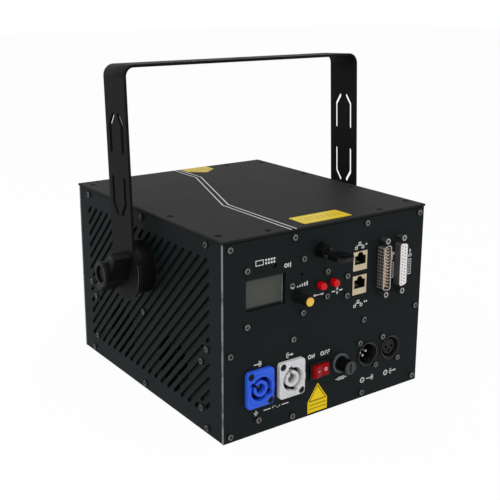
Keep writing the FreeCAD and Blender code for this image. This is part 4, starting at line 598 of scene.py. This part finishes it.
class PROJECTOR_OT_screws(bpy.types.Operator):
    """Blackened socket screws on every face"""
    bl_idname = "projector.screws"
    bl_label = "Screws"

    def execute(self, context):
        side_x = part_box("right_panel")[1].x
        front_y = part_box("front_panel")[1].y
        # The painted crown highlight is weaker on the sides and left off on the lid.
        dress(self.oxide("rear_oxide", self.rear_out, 0.65), "rear_screws")
        dress(self.oxide("side_oxide", lambda f: abs(f.x) - side_x, 0.3), "side_screws")
        dress(self.oxide("front_oxide", lambda f: f.y - front_y, 0.65), "front_screws")
        dress(self.oxide("lid_oxide", lambda f: f.z - LID_TOP, 0.0), "top_screws")
        return {"FINISHED"}

    def rear_out(self, f):
        """Height over the rear panel, or over the washer under the earth screw."""
        x, z = EARTH_AT
        washer = (reach(f.x - x * MM, f.z - z * MM) < EARTH_REACH) * EARTH_WASHER
        return REAR_Y - f.y - washer

    def oxide(self, name, out, glint):
        """Black oxide, with a painted highlight in patches round the socket on the crown of a head that
        stands on the panel.
        """
        f = Finish(name)
        wear_and_glint = f.speckle(1.6 * MM, 3.0)
        high = out(f)
        crown = high.ease(1.20 * MM, 1.50 * MM) * high.ease(1.65 * MM, 1.75 * MM, 1.0, 0.0)
        crown = crown * wear_and_glint.ease(0.35, 0.62, 0.30, 1.0) * glint
        base = f.mix(crown, OXIDE_BLACK, OXIDE_GLINT)
        return f.done(Base_Color=base, Metallic=crown * 0.8, Roughness=wear_and_glint * 0.20 + 0.30,
                      Specular_IOR_Level=0.155)


class PROJECTOR_OT_display(bpy.types.Operator):
    """The unlit display and its frame"""
    bl_idname = "projector.display"
    bl_label = "Display"

    def execute(self, context):
        colours = context.scene.projector_colours
        f = Finish("liquid_crystal")
        low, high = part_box("display_screen")
        border = (f.x - low.x).least(high.x - f.x).least(f.z - low.z).least(high.z - f.z)
        lit = border.ease(1.6 * MM, 2.0 * MM)
        dots = f.x.wrap(SCREEN_PIXEL).most(f.z.wrap(SCREEN_PIXEL)).ease(0.17 * MM, 0.24 * MM)
        cloud = f.speckle(30 * MM, 3.0)
        glow = f.shade(colours.screen_grey[:], 0.85, 1.20, cloud)
        base = f.mix(lit * (1.0 - dots * 0.12), SCREEN_BORDER, glow)
        # A painted highlight along the right edge of the screen.
        strip = abs(high.x - 1.0 * MM - f.x).ease(0.25 * MM, 0.45 * MM, 1.0, 0.0)
        base = f.mix(strip * 0.8, base, SCREEN_EDGE_HIGHLIGHT)
        dress(f.done(Base_Color=base, Roughness=0.30, Specular_IOR_Level=0.186), "display_screen")
        dress(moulding("frame_moulding", colours.black_moulding[:]), "display_frame")
        return {"FINISHED"}


class PROJECTOR_OT_controls(bpy.types.Operator):
    """Function knob, push buttons, key switch, rocker and fuse"""
    bl_idname = "projector.controls"
    bl_label = "Controls"

    def execute(self, context):
        colours = context.scene.projector_colours
        black = colours.black_moulding[:]
        dark = scaled(black, 0.5)
        dress(moulding("knob_grip", black, 0.40), "function_knob")
        dress(moulding("knob_cap", colours.yellow_moulding[:], 0.40), "knob_cap")
        red = scaled(colours.red_moulding, 0.72)
        dress(moulding("button_red", red, 0.22, coat=0.2, shine=0.16), "x_button", "y_button")
        dress(moulding("rocker_red", scaled(colours.red_moulding, 0.36), 0.34, shine=0.074), "rocker")
        dress(moulding("rocker_bezel", black, 0.34), "rocker_frame")
        dress(moulding("key_moulding", dark, 0.14, shine=0.217), "key")
        dress(moulding("lock_black", dark, 0.40, shine=0.074), "lock_barrel")
        dress(self.fuse_body(black), "fuse_holder")
        dress(self.fuse_cap(dark), "fuse_cap")
        dress(plated("bush_nickel", BUSH_NICKEL), "encoder_body", "encoder_shaft")
        dress(moulding("switch_body", black), "button_switches")
        crisp(0.45 * MM, "key")
        crisp(0.30 * MM, "rocker_frame", "fuse_holder")
        crisp(0.35 * MM, "rocker")
        crisp(0.25 * MM, "knob_cap")
        self.rocker_marks(colours, context.scene.projector_sizes)
        return {"FINISHED"}

    def fuse_body(self, tint):
        """Black moulding with a painted highlight round the rim of its flange."""
        f = Finish("fuse_black")
        middle = centre("fuse_holder")
        rim = reach(f.x - middle.x, f.z - middle.z).ease(*FUSE_RIM) * (f.y < REAR_Y)
        grain = f.speckle(0.5 * MM, 2.0)
        base = f.mix(rim, tint, FUSE_RIM_HIGHLIGHT)
        return f.done(Base_Color=base, Roughness=grain * 0.08 + 0.22, Specular_IOR_Level=0.31)

    def fuse_cap(self, tint):
        """Black sides and a paler slotted end."""
        f = Finish("fuse_cap")
        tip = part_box("fuse_cap")[0].y
        end = f.y.ease(tip + 0.2 * MM, tip + 1.0 * MM, 1.0, 0.0)
        grain = f.speckle(0.5 * MM, 2.0)
        base = f.mix(end * 0.8, tint, FUSE_END_GREY)
        return f.done(Base_Color=base, Roughness=grain * 0.10 + 0.30, Specular_IOR_Level=0.124,
                      Normal=f.relief(grain, 0.02 * MM))

    def rocker_marks(self, colours, sizes):
        """A bar and a ring, moulded in white on the two faces of the rocker."""
        axis = Vector((centre("rocker_frame").x, REAR_Y - ROCKER_PIN_OUT, centre("rocker").z))
        lean = Matrix.Rotation(math.radians(ROCKER_LEAN), 4, "Z")
        white = moulding("rocker_print", colours.white_moulding[:], 0.40)
        for name, side in (("mark_on", -1), ("mark_off", 1)):
            art = Print(sizes.stroke * 0.75)
            if side < 0:
                art.bar((0, 0), (2.6, 0.7))
            else:
                art.ring((0, 0), 1.5)
            face = Matrix.Translation((side * ROCKER_MARK_ASIDE, -ROCKER_MARK_OUT, 0))
            slope = Matrix.Rotation(math.radians(-side * ROCKER_SLOPE), 4, "Z")
            bm = art.stand(sizes.ink * 2, Matrix.Translation(axis) @ lean @ face @ slope @ UPRIGHT)
            new_piece(name, bm, white, "rocker")


class PROJECTOR_OT_sockets(bpy.types.Operator):
    """Network jacks, data, power and signal sockets with their contacts"""
    bl_idname = "projector.sockets"
    bl_label = "Sockets"

    def execute(self, context):
        colours = context.scene.projector_colours
        black = colours.black_moulding[:]
        shells = plated("data_nickel", colours.nickel[:], 0.30, (1.0, 0.1, 1.0), self.dimples_and_glints, metal=0.35)
        dress(self.shell("inlet_blue", colours.blue_moulding[:], "power_inlet"), "power_inlet")
        dress(self.shell("outlet_white", colours.white_moulding[:], "power_outlet"), "power_outlet")
        dress(moulding("signal_black", black, 0.24, shine=0.341), "signal_shells")
        dress(moulding("signal_core", black, 0.40), "signal_inserts")
        dress(self.jack(black), "network_jacks")
        dress(shells, "data_shells")
        dress(moulding("plug_insulator", PLUG_TAN, 0.45), "data_plug_insert")
        dress(self.drilled(), "data_socket_insert")
        dress(plated("jackscrew_steel", JACKSCREW_STEEL, 0.28), "jackscrews")
        dress(self.contacts(), "contact_pins")
        crisp(0.20 * MM, "data_socket_insert", "jackscrews", "network_jacks")
        crisp(0.30 * MM, "power_inlet", "power_outlet", "signal_shells")
        return {"FINISHED"}

    def shell(self, name, tint, node):
        """Moulded socket, painted dark in the depth of its mouth as shade."""
        f = Finish(name)
        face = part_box(node)[0].y
        grain = f.speckle(0.6 * MM, 2.0)
        flow = f.speckle(14 * MM, 3.0)
        base = f.shade(tint, 0.90, 1.10, flow)
        # Painted shade, darker with depth in the mouth.
        base = f.mix(f.y.ease(face + 3 * MM, face + 9 * MM, 0.0, 0.9), base, scaled(tint, 0.08))
        return f.done(Base_Color=base, Roughness=flow * 0.10 + 0.33, Specular_IOR_Level=0.186,
                      Normal=f.relief(grain, 0.03 * MM))

    def dimples_and_glints(self, f):
        """Dimples round the shell with pins and rims on both, painted bright as highlights; the walls, plain
        round the other, painted dark as reflection.
        """
        spread = reach(f.z.wrap(2.9 * MM), (f.y - REAR_Y).wrap(2.8 * MM))
        dots = spread.ease(0.45 * MM, 0.90 * MM, 0.75, 0.0) * (f.x < DATA_SPLIT_X)
        plain = (f.x > DATA_SPLIT_X) * 0.07
        rim = f.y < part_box("data_shells")[0].y + 0.4 * MM
        return dots.most(plain).most(rim)

    def drilled(self):
        """A white face, painted dark behind it as shade down the holes."""
        f = Finish("socket_insulator")
        grain = f.speckle(0.5 * MM, 2.0)
        deep = f.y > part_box("data_socket_insert")[0].y + 0.3 * MM
        base = f.mix(deep, SOCKET_WHITE, SOCKET_HOLE_SHADE)
        return f.done(Base_Color=base, Roughness=grain * 0.10 + 0.38, Specular_IOR_Level=0.186)

    def contacts(self):
        """Gold above, on the data and network pins; tin below."""
        f = Finish("contact_metal")
        cloud = f.speckle(3 * MM, 3.0)
        base = f.mix(f.z > GOLD_FROM_Z, CONTACT_TIN, CONTACT_GOLD)
        return f.done(Base_Color=base, Metallic=0.5, Roughness=cloud * 0.12 + 0.24)

    def jack(self, black):
        """Tinned shield outside, black moulding in the mouth."""
        f = Finish("jack_shield")
        inside = f.y > REAR_Y - 0.25 * MM
        cloud = f.speckle(5 * MM, 4.0)
        metal = f.shade(SHIELD_TIN, 0.80, 1.15, cloud)
        return f.done(Base_Color=f.mix(inside, metal, black), Metallic=(1.0 - inside) * 0.75,
                      Roughness=cloud * 0.14 + 0.28, Normal=f.relief(cloud, 0.03 * MM))


class PROJECTOR_OT_inside(bpy.types.Operator):
    """What shows through the vents and the front window"""
    bl_idname = "projector.inside"
    bl_label = "Inside"

    def execute(self, context):
        colours = context.scene.projector_colours
        black = colours.black_moulding[:]
        # The frame, rails, pivot plates and fan plate take the case paint at half, a painted shade inside the
        # case.
        paint = powder_coat("coat_frame", scaled(colours.case_paint, 0.5))
        deck = anodised("deck_metal", DECK_METAL)
        dress(paint, "frame_posts", "frame_rails", "pivot_plates", "fan_plate")
        dress(anodised("mount_metal", MOUNT_METAL), "mirror_mounts")
        dress(deck, "optical_bench", "laser_modules", "scanner_block")
        dress(moulding("fan_frame", black, 0.45), "fan_frames")
        dress(moulding("fan_blade", black, 0.36), "rear_fan_rotor", "front_fan_rotor")
        dress(plated("standoff_steel", STANDOFF_STEEL), "standoffs", "scanner_motors")
        dress(plated("supply_steel", SUPPLY_STEEL, 0.34), "power_supply")
        dress(circuit("board_green"), "panel_boards", "driver_boards")
        dress(looking_glass("mirror_coat"), "combiner_mirrors", "x_scan_rotor", "y_scan_rotor")
        dress(filter_glass("window_coat"), "window_glass")
        return {"FINISHED"}


class PROJECTOR_OT_legends(bpy.types.Operator):
    """Plain printed signs beside the controls and sockets"""
    bl_idname = "projector.legends"
    bl_label = "Legends"

    def execute(self, context):
        sizes = context.scene.projector_sizes
        f = Finish("screen_print")
        cover = f.speckle(0.6 * MM, 3.0)
        white = f.shade(context.scene.projector_colours.print_white[:], 0.86, 1.04, cover)
        ink = f.done(Base_Color=white, Roughness=cover * 0.12 + 0.40)
        for name, at in LEGEND.items():
            art = Print(sizes.stroke)
            getattr(self, "draw_" + name.split("_")[0])(art, Vector(at), name)
            piece = new_piece("print_" + name, art.stand(sizes.ink, on_rear()), ink, "case")
        return {"FINISHED"}

    def draw_display(self, art, at, name):
        """A small screen and the dots that it shows."""
        art.frame(at - Vector((5.6, 0)), (7.6, 4.4))
        for i in range(4):
            for j in (-1, 1):
                art.bar(at + Vector((0.6 + 2.6 * i, 1.3 * j)), (1.6, 1.6))

    def draw_microphone(self, art, at, name):
        """A ring and two waves of sound."""
        art.ring(at, 1.7)
        for i in range(2):
            aside, half = Vector((2.6 + 1.8 * i, 0)), Vector((0, 1.2 + 0.5 * i))
            art.line(at + aside - half, at + aside + half)

    def draw_turn(self, art, at, name):
        """An arrow that goes three quarters of the way round, and a row of growing steps."""
        hub = at - Vector((7.0, 0))
        for i in range(9):
            ends = [math.radians(210 - 30 * j) for j in (i, i + 1)]
            start, end = [hub + Vector((math.cos(a), math.sin(a))) * 1.9 for a in ends]
            art.line(start, end)
        art.head(end + Vector((-0.9, 0.0)), 1.2, 180)
        for i in range(5):
            art.bar(at + Vector((-2.0 + 2.4 * i, -1.4 + 0.3 * i)), (1.2, 1.2 + 0.6 * i))

    def draw_flip(self, art, at, name):
        """A two-ended arrow across, or up between two rules."""
        across = name.endswith("x")
        way = Vector((5.2, 0)) if across else Vector((0, 2.8))
        art.arrow(at, at + way, 1.4)
        art.arrow(at, at - way, 1.4)
        if not across:
            for side in (-1, 1):
                art.bar(at + Vector((side * 4.0, 0)), (3.6, 1.0))

    def draw_jack(self, art, at, name):
        """Three linked squares, and one or two dots."""
        art.frame(at + Vector((0, 1.6)), (2.8, 2.4))
        for side in (-1, 1):
            art.frame(at + Vector((side * 3.6, -2.0)), (2.8, 2.4))
        art.bar(at + Vector((0, -0.1)), (7.2, 0.5))
        for i in range(1 if name.endswith("upper") else 2):
            art.dot(at + Vector((7.4 + 2.2 * i, 0)), 0.8)

    def draw_data(self, art, at, name):
        """An arrow beside a tall socket's outline with a column of five dots."""
        low = at - Vector((0, 4.4))
        art.frame(low, (3.6, 14.0))
        for i in range(5):
            art.dot(low + Vector((0, 4.4 - 2.2 * i)), 0.5, 8)
        self.way(art, at + Vector((0, 8.0)), name, Vector((0, 3.2)), 1.8)

    def draw_power(self, art, at, name):
        """An arrow in or out."""
        self.way(art, at, name, Vector((3.2, 0)), 1.9)

    def draw_signal(self, art, at, name):
        """A round socket with three contacts, and an arrow."""
        hub = at - Vector((5.2, 0))
        art.ring(hub, 2.5)
        for i in range(3):
            turn = math.radians(90 + 120 * i)
            art.dot(hub + Vector((math.cos(turn), math.sin(turn))) * 0.9, 0.4, 8)
        self.way(art, at + Vector((3.4, 0)), name, Vector((3.6, 0)), 2.0)

    def way(self, art, at, name, run, half):
        """An arrow that goes into a bracket, or comes out of one."""
        aside = Vector((-run.y, run.x)).normalized() * half
        foot = run.normalized() * 1.6
        inward = name.endswith("in")
        wall = at + run if inward else at - run
        back = -foot if inward else foot
        art.line(wall + aside, wall - aside)
        art.line(wall + aside, wall + aside + back)
        art.line(wall - aside, wall - aside + back)
        art.arrow(at - run, at + run * (0.75 if inward else 1.0))

    def draw_switch(self, art, at, name):
        """ON and OFF, in plain strokes."""
        for letter, step in (("o", -9.6), ("n", -5.8), ("o", 3.6), ("f", 7.4), ("f", 10.4)):
            self.letter(art, letter, at + Vector((step, 0)))

    def letter(self, art, letter, at):
        """One letter, about 4 mm high."""
        if letter == "o":
            art.ring(at, 1.9)
            return
        strokes = {
            "n": ((-1.1, -1.5, -1.1, 1.5), (1.1, -1.5, 1.1, 1.5), (-1.1, 1.5, 1.1, -1.5)),
            "f": ((-0.8, -1.5, -0.8, 1.5), (-0.8, 1.5, 1.0, 1.5), (-0.8, 0.1, 0.6, 0.1)),
        }
        for x0, z0, x1, z1 in strokes[letter]:
            art.line(at + Vector((x0, z0)), at + Vector((x1, z1)))

    def draw_fuse(self, art, at, name):
        """A box on a line."""
        art.frame(at, (7.0, 2.8))
        art.line(at - Vector((5.6, 0)), at + Vector((5.6, 0)))

    def draw_earth(self, art, at, name):
        """Three bars under a stem."""
        art.line(at + Vector((0, 0.4)), at + Vector((0, 1.8)))
        for i in range(3):
            art.bar(at + Vector((0, 0.2 - 1.1 * i)), (4.2 - 1.3 * i, 0.6))

    def draw_rating(self, art, at, name):
        """A wave between two short rules."""
        wave = [at + Vector((-3.5 + i * 0.875, 1.1 * math.sin(i * math.pi / 4))) for i in range(9)]
        for start, end in zip(wave, wave[1:]):
            art.line(start, end)
        for side in (-1, 1):
            art.bar(at + Vector((side * 9.0, 0)), (7.0, 0.8))


class PROJECTOR_OT_labels(bpy.types.Operator):
    """Blank adhesive labels on the lid and the rear panel"""
    bl_idname = "projector.labels"
    bl_label = "Labels"

    def execute(self, context):
        yellow = context.scene.projector_colours.label_yellow[:]
        backward = on_lid() @ Matrix.Scale(-1, 4, (0, 1, 0))
        self.plate("lid_label", LID_LABEL_AT, LID_LABEL_SIZE, yellow)
        self.house("rear_house", REAR_HOUSE_ACROSS, REAR_HOUSE_UP, on_rear(), "z", 1, yellow)
        self.house("lid_house", LID_HOUSE_ACROSS, LID_HOUSE_UP, backward, "y", -1, FADED_YELLOW)
        return {"FINISHED"}

    def vinyl(self, name, low, high, tint):
        """Vinyl with a thin dark keyline and ruled lines to write on."""
        f = Finish(name)
        inset = (f.x - low[0]).least(high[0] - f.x).least(f.y - low[1]).least(high[1] - f.y)
        key = abs(inset - 1.4 * MM).ease(0.30 * MM, 0.50 * MM, 1.0, 0.0)
        lines = (f.y - low[1]).wrap(3.2 * MM).ease(0.40 * MM, 0.65 * MM, 1.0, 0.0)
        lines = lines * inset.ease(3.4 * MM, 3.5 * MM)
        fade = f.speckle(16 * MM, 4.0)
        scuff = f.speckle(2.5 * MM, 5.0, 0.7).ease(0.62, 0.80)
        base = f.shade(tint, 0.76, 0.90, fade)
        base = f.mix(key.most(lines) * 0.85, base, PLATE_INK)
        base = f.mix(scuff * 0.12, base, SCUFFED)
        return f.done(Base_Color=base, Roughness=fade * 0.12 + scuff * 0.15 + 0.30,
                      Specular_IOR_Level=LABEL_SHINE)

    def plate(self, name, at, size, tint):
        """A rectangle with rounded corners, laid on the lid."""
        sizes = bpy.context.scene.projector_sizes
        art = Print(sizes.stroke)
        verts = art.bar(at, size)
        bmesh.ops.bevel(art.bm, geom=verts, offset=LID_LABEL_ROUND, offset_type="OFFSET", affect="VERTICES",
                        segments=4, profile=0.5, material=-1)
        low = [(at[i] - size[i] / 2) * MM for i in range(2)]
        high = [(at[i] + size[i] / 2) * MM for i in range(2)]
        material = self.vinyl(name + "_vinyl", low, high, tint)
        new_piece(name, art.stand(sizes.label, on_lid()), material, "case")

    def house(self, name, across, up, matrix, axis, way, tint):
        """A blank label with a pointed end."""
        sizes = bpy.context.scene.projector_sizes
        art = Print(sizes.stroke)
        middle, half = across
        foot, shoulder, apex = up
        art.bar((middle, (foot + shoulder) / 2), (2 * half, shoulder - foot))
        top = max(art.bm.edges, key=lambda e: sum(v.co.y for v in e.verts))
        roof = bmesh.ops.extrude_edge_only(art.bm, edges=[top])["geom"]
        peak = [g for g in roof if isinstance(g, bmesh.types.BMVert)]
        bmesh.ops.translate(art.bm, verts=peak, vec=(0, apex - shoulder, 0))
        bmesh.ops.pointmerge(art.bm, verts=peak, merge_co=(middle, apex, 0))
        material = self.pointed_vinyl(name + "_vinyl", across, up, axis, way, tint)
        new_piece(name, art.stand(sizes.label, matrix), material, "case")

    def pointed_vinyl(self, name, across, up, axis, way, tint):
        """The same vinyl with its keyline round a pointed shape and rules below the point."""
        f = Finish(name)
        middle, half = [v * MM for v in across]
        foot, shoulder, apex = [v * MM for v in up]
        high = getattr(f, axis) * way
        aside = abs(f.x - middle)
        rise = (apex - shoulder) / half
        slope = ((apex - high) - aside * rise) / math.sqrt(1 + rise ** 2)
        inset = (half - aside).least(high - foot).least(slope)
        within = inset.ease(1.3 * MM, 1.4 * MM)
        peak = abs(slope - 1.3 * MM).ease(0.30 * MM, 0.50 * MM, 1.0, 0.0) * (high > shoulder)
        sill = abs(high - shoulder).ease(0.40 * MM, 0.60 * MM, 1.0, 0.0) * (inset > 1.0 * MM)
        rules = (high - foot).wrap(3.4 * MM).ease(0.25 * MM, 0.45 * MM, 1.0, 0.0) * within
        rules = rules * (high < shoulder - 1.5 * MM) * (high > foot + 1.5 * MM)
        fade = f.speckle(12 * MM, 4.0)
        base = f.shade(tint, 0.92, 1.06, fade)
        base = f.mix(peak.most(sill).most(rules) * 0.85, base, HOUSE_INK)
        return f.done(Base_Color=base, Roughness=fade * 0.12 + 0.30, Specular_IOR_Level=LABEL_SHINE)


# The studio, in metres and degrees
FLOOR_HALF = 6.0
FLOOR_DROP = 0.0005
PAPER, PAPER_CLOUD = (0.86, 0.86, 0.86), 0.8
SOFTBOXES = (
    ("overhead", (-0.35, -0.35, 1.5), (0, 0, 0.1), 1.6),
    ("side", (-1.6, -0.5, 0.7), (0, 0, 0.1), 1.1),
    ("ahead", (-1.3, 1.2, 1.1), (-0.1, 0, 0.1), 0.5),
)
CAMERA_AT = (-0.4469, -0.6344, 0.3438)
CAMERA_TURN, CAMERA_TIP, CAMERA_ROLL = -35.593, 14.165, 0.203
CAMERA_SENSOR = 36.0


def backdrop_rays(tree):
    """1 where the camera, a reflection or glass shows the backdrop, 0 where it only gives light."""
    path = tree.nodes.new("ShaderNodeLightPath")
    seen = path.outputs["Is Camera Ray"]
    for name in ("Is Glossy Ray", "Is Transmission Ray"):
        most = tree.nodes.new("ShaderNodeMath")
        most.operation = "MAXIMUM"
        tree.links.new(seen, most.inputs[0])
        tree.links.new(path.outputs[name], most.inputs[1])
        seen = most.outputs[0]
    return seen


class PROJECTOR_OT_stage(bpy.types.Operator):
    """Pale floor, soft light and the camera"""
    bl_idname = "projector.stage"
    bl_label = "Stage"

    def execute(self, context):
        studio = context.scene.projector_studio
        context.scene.view_settings.view_transform = "Standard"
        self.floor()
        self.room(context, studio)
        for (name, place, target, size), watts in zip(SOFTBOXES, (studio.key, studio.fill, studio.rim)):
            self.softbox(name, place, target, size, watts)
        self.camera(context, studio)
        return {"FINISHED"}

    def floor(self):
        bm = bmesh.new()
        bmesh.ops.create_grid(bm, x_segments=1, y_segments=1, size=FLOOR_HALF)
        bmesh.ops.translate(bm, verts=bm.verts, vec=(0, 0, -FLOOR_DROP))
        mesh = bpy.data.meshes.new("floor")
        bm.to_mesh(mesh)
        bm.free()
        floor = bpy.data.objects.new("floor", mesh)
        bpy.context.scene.collection.objects.link(floor)
        f = Finish("floor_paper")
        cloud = f.speckle(PAPER_CLOUD, 3.0)
        paper = f.done(Base_Color=f.shade(PAPER, 0.98, 1.0, cloud), Roughness=0.9)
        seen = Value(f, backdrop_rays(f.tree)) * bpy.context.scene.projector_studio.glow
        white = f.node("ShaderNodeEmission", {}, {"Color": (1, 1, 1, 1), "Strength": 1.0})
        both = f.node("ShaderNodeMixShader", {}, {0: seen, 1: Value(f, f.shader.outputs[0]), 2: white})
        f.tree.links.new(both.socket, f.tree.nodes["Material Output"].inputs["Surface"])
        mesh.materials.append(paper)

    def room(self, context, studio):
        """White to the camera and to reflections, a dimmer grey as light."""
        world = bpy.data.worlds.new("room")
        context.scene.world = world
        world.use_nodes = True
        tree = world.node_tree
        back = tree.nodes["Background"]
        back.inputs["Color"].default_value = (1, 1, 1, 1)
        level = tree.nodes.new("ShaderNodeMapRange")
        level.inputs["To Min"].default_value = studio.ambient
        level.inputs["To Max"].default_value = 1.0
        tree.links.new(backdrop_rays(tree), level.inputs["Value"])
        tree.links.new(level.outputs[0], back.inputs["Strength"])

    def softbox(self, name, place, target, size, watts):
        light = bpy.data.lights.new(name, "AREA")
        light.shape = "RECTANGLE"
        light.size = size
        light.size_y = size
        light.energy = watts
        lamp = bpy.data.objects.new(name, light)
        lamp.location = place
        lamp.rotation_euler = (Vector(target) - Vector(place)).to_track_quat("-Z", "Y").to_euler()
        bpy.context.scene.collection.objects.link(lamp)

    def camera(self, context, studio):
        """Where the photograph was taken from."""
        turn, tip, roll = [math.radians(a) for a in (CAMERA_TURN, CAMERA_TIP, CAMERA_ROLL)]
        back = Vector((math.sin(turn) * math.cos(tip), -math.cos(turn) * math.cos(tip), math.sin(tip)))
        level = Vector((math.cos(turn), math.sin(turn), 0))
        steep = back.cross(level)
        right = level * math.cos(roll) + steep * math.sin(roll)
        up = steep * math.cos(roll) - level * math.sin(roll)
        data = bpy.data.cameras.new("camera")
        data.sensor_width = CAMERA_SENSOR
        data.lens = studio.lens
        data.shift_y = studio.drop
        camera = bpy.data.objects.new("camera", data)
        matrix = Matrix((right, up, back)).transposed().to_4x4()
        matrix.translation = CAMERA_AT
        camera.matrix_world = matrix
        context.scene.collection.objects.link(camera)
        context.scene.camera = camera


PIECES = (PROJECTOR_OT_case, PROJECTOR_OT_yoke, PROJECTOR_OT_screws, PROJECTOR_OT_display,
          PROJECTOR_OT_controls, PROJECTOR_OT_sockets, PROJECTOR_OT_inside, PROJECTOR_OT_legends,
          PROJECTOR_OT_labels, PROJECTOR_OT_stage)
GROUPS = (ProjectorColours, ProjectorSizes, ProjectorStudio)


class PROJECTOR_PT_panel(bpy.types.Panel):
    """Lists the projector's pieces"""
    bl_idname = "PROJECTOR_PT_panel"
    bl_label = "Laser Show Projector"
    bl_space_type = "VIEW_3D"
    bl_region_type = "UI"
    bl_category = "Projector"

    def draw(self, context):
        for piece in PIECES:
            self.layout.operator(piece.bl_idname)


def register():
    for cls in GROUPS + PIECES + (PROJECTOR_PT_panel,):
        bpy.utils.register_class(cls)
    bpy.types.Scene.projector_colours = PointerProperty(type=ProjectorColours)
    bpy.types.Scene.projector_sizes = PointerProperty(type=ProjectorSizes)
    bpy.types.Scene.projector_studio = PointerProperty(type=ProjectorStudio)


def unregister():
    del bpy.types.Scene.projector_studio
    del bpy.types.Scene.projector_sizes
    del bpy.types.Scene.projector_colours
    for cls in reversed(GROUPS + PIECES + (PROJECTOR_PT_panel,)):
        bpy.utils.unregister_class(cls)


def main():
    register()
    for piece in PIECES:
        group, name = piece.bl_idname.split(".")
        getattr(getattr(bpy.ops, group), name)()


if __name__ == "__main__":
    main()
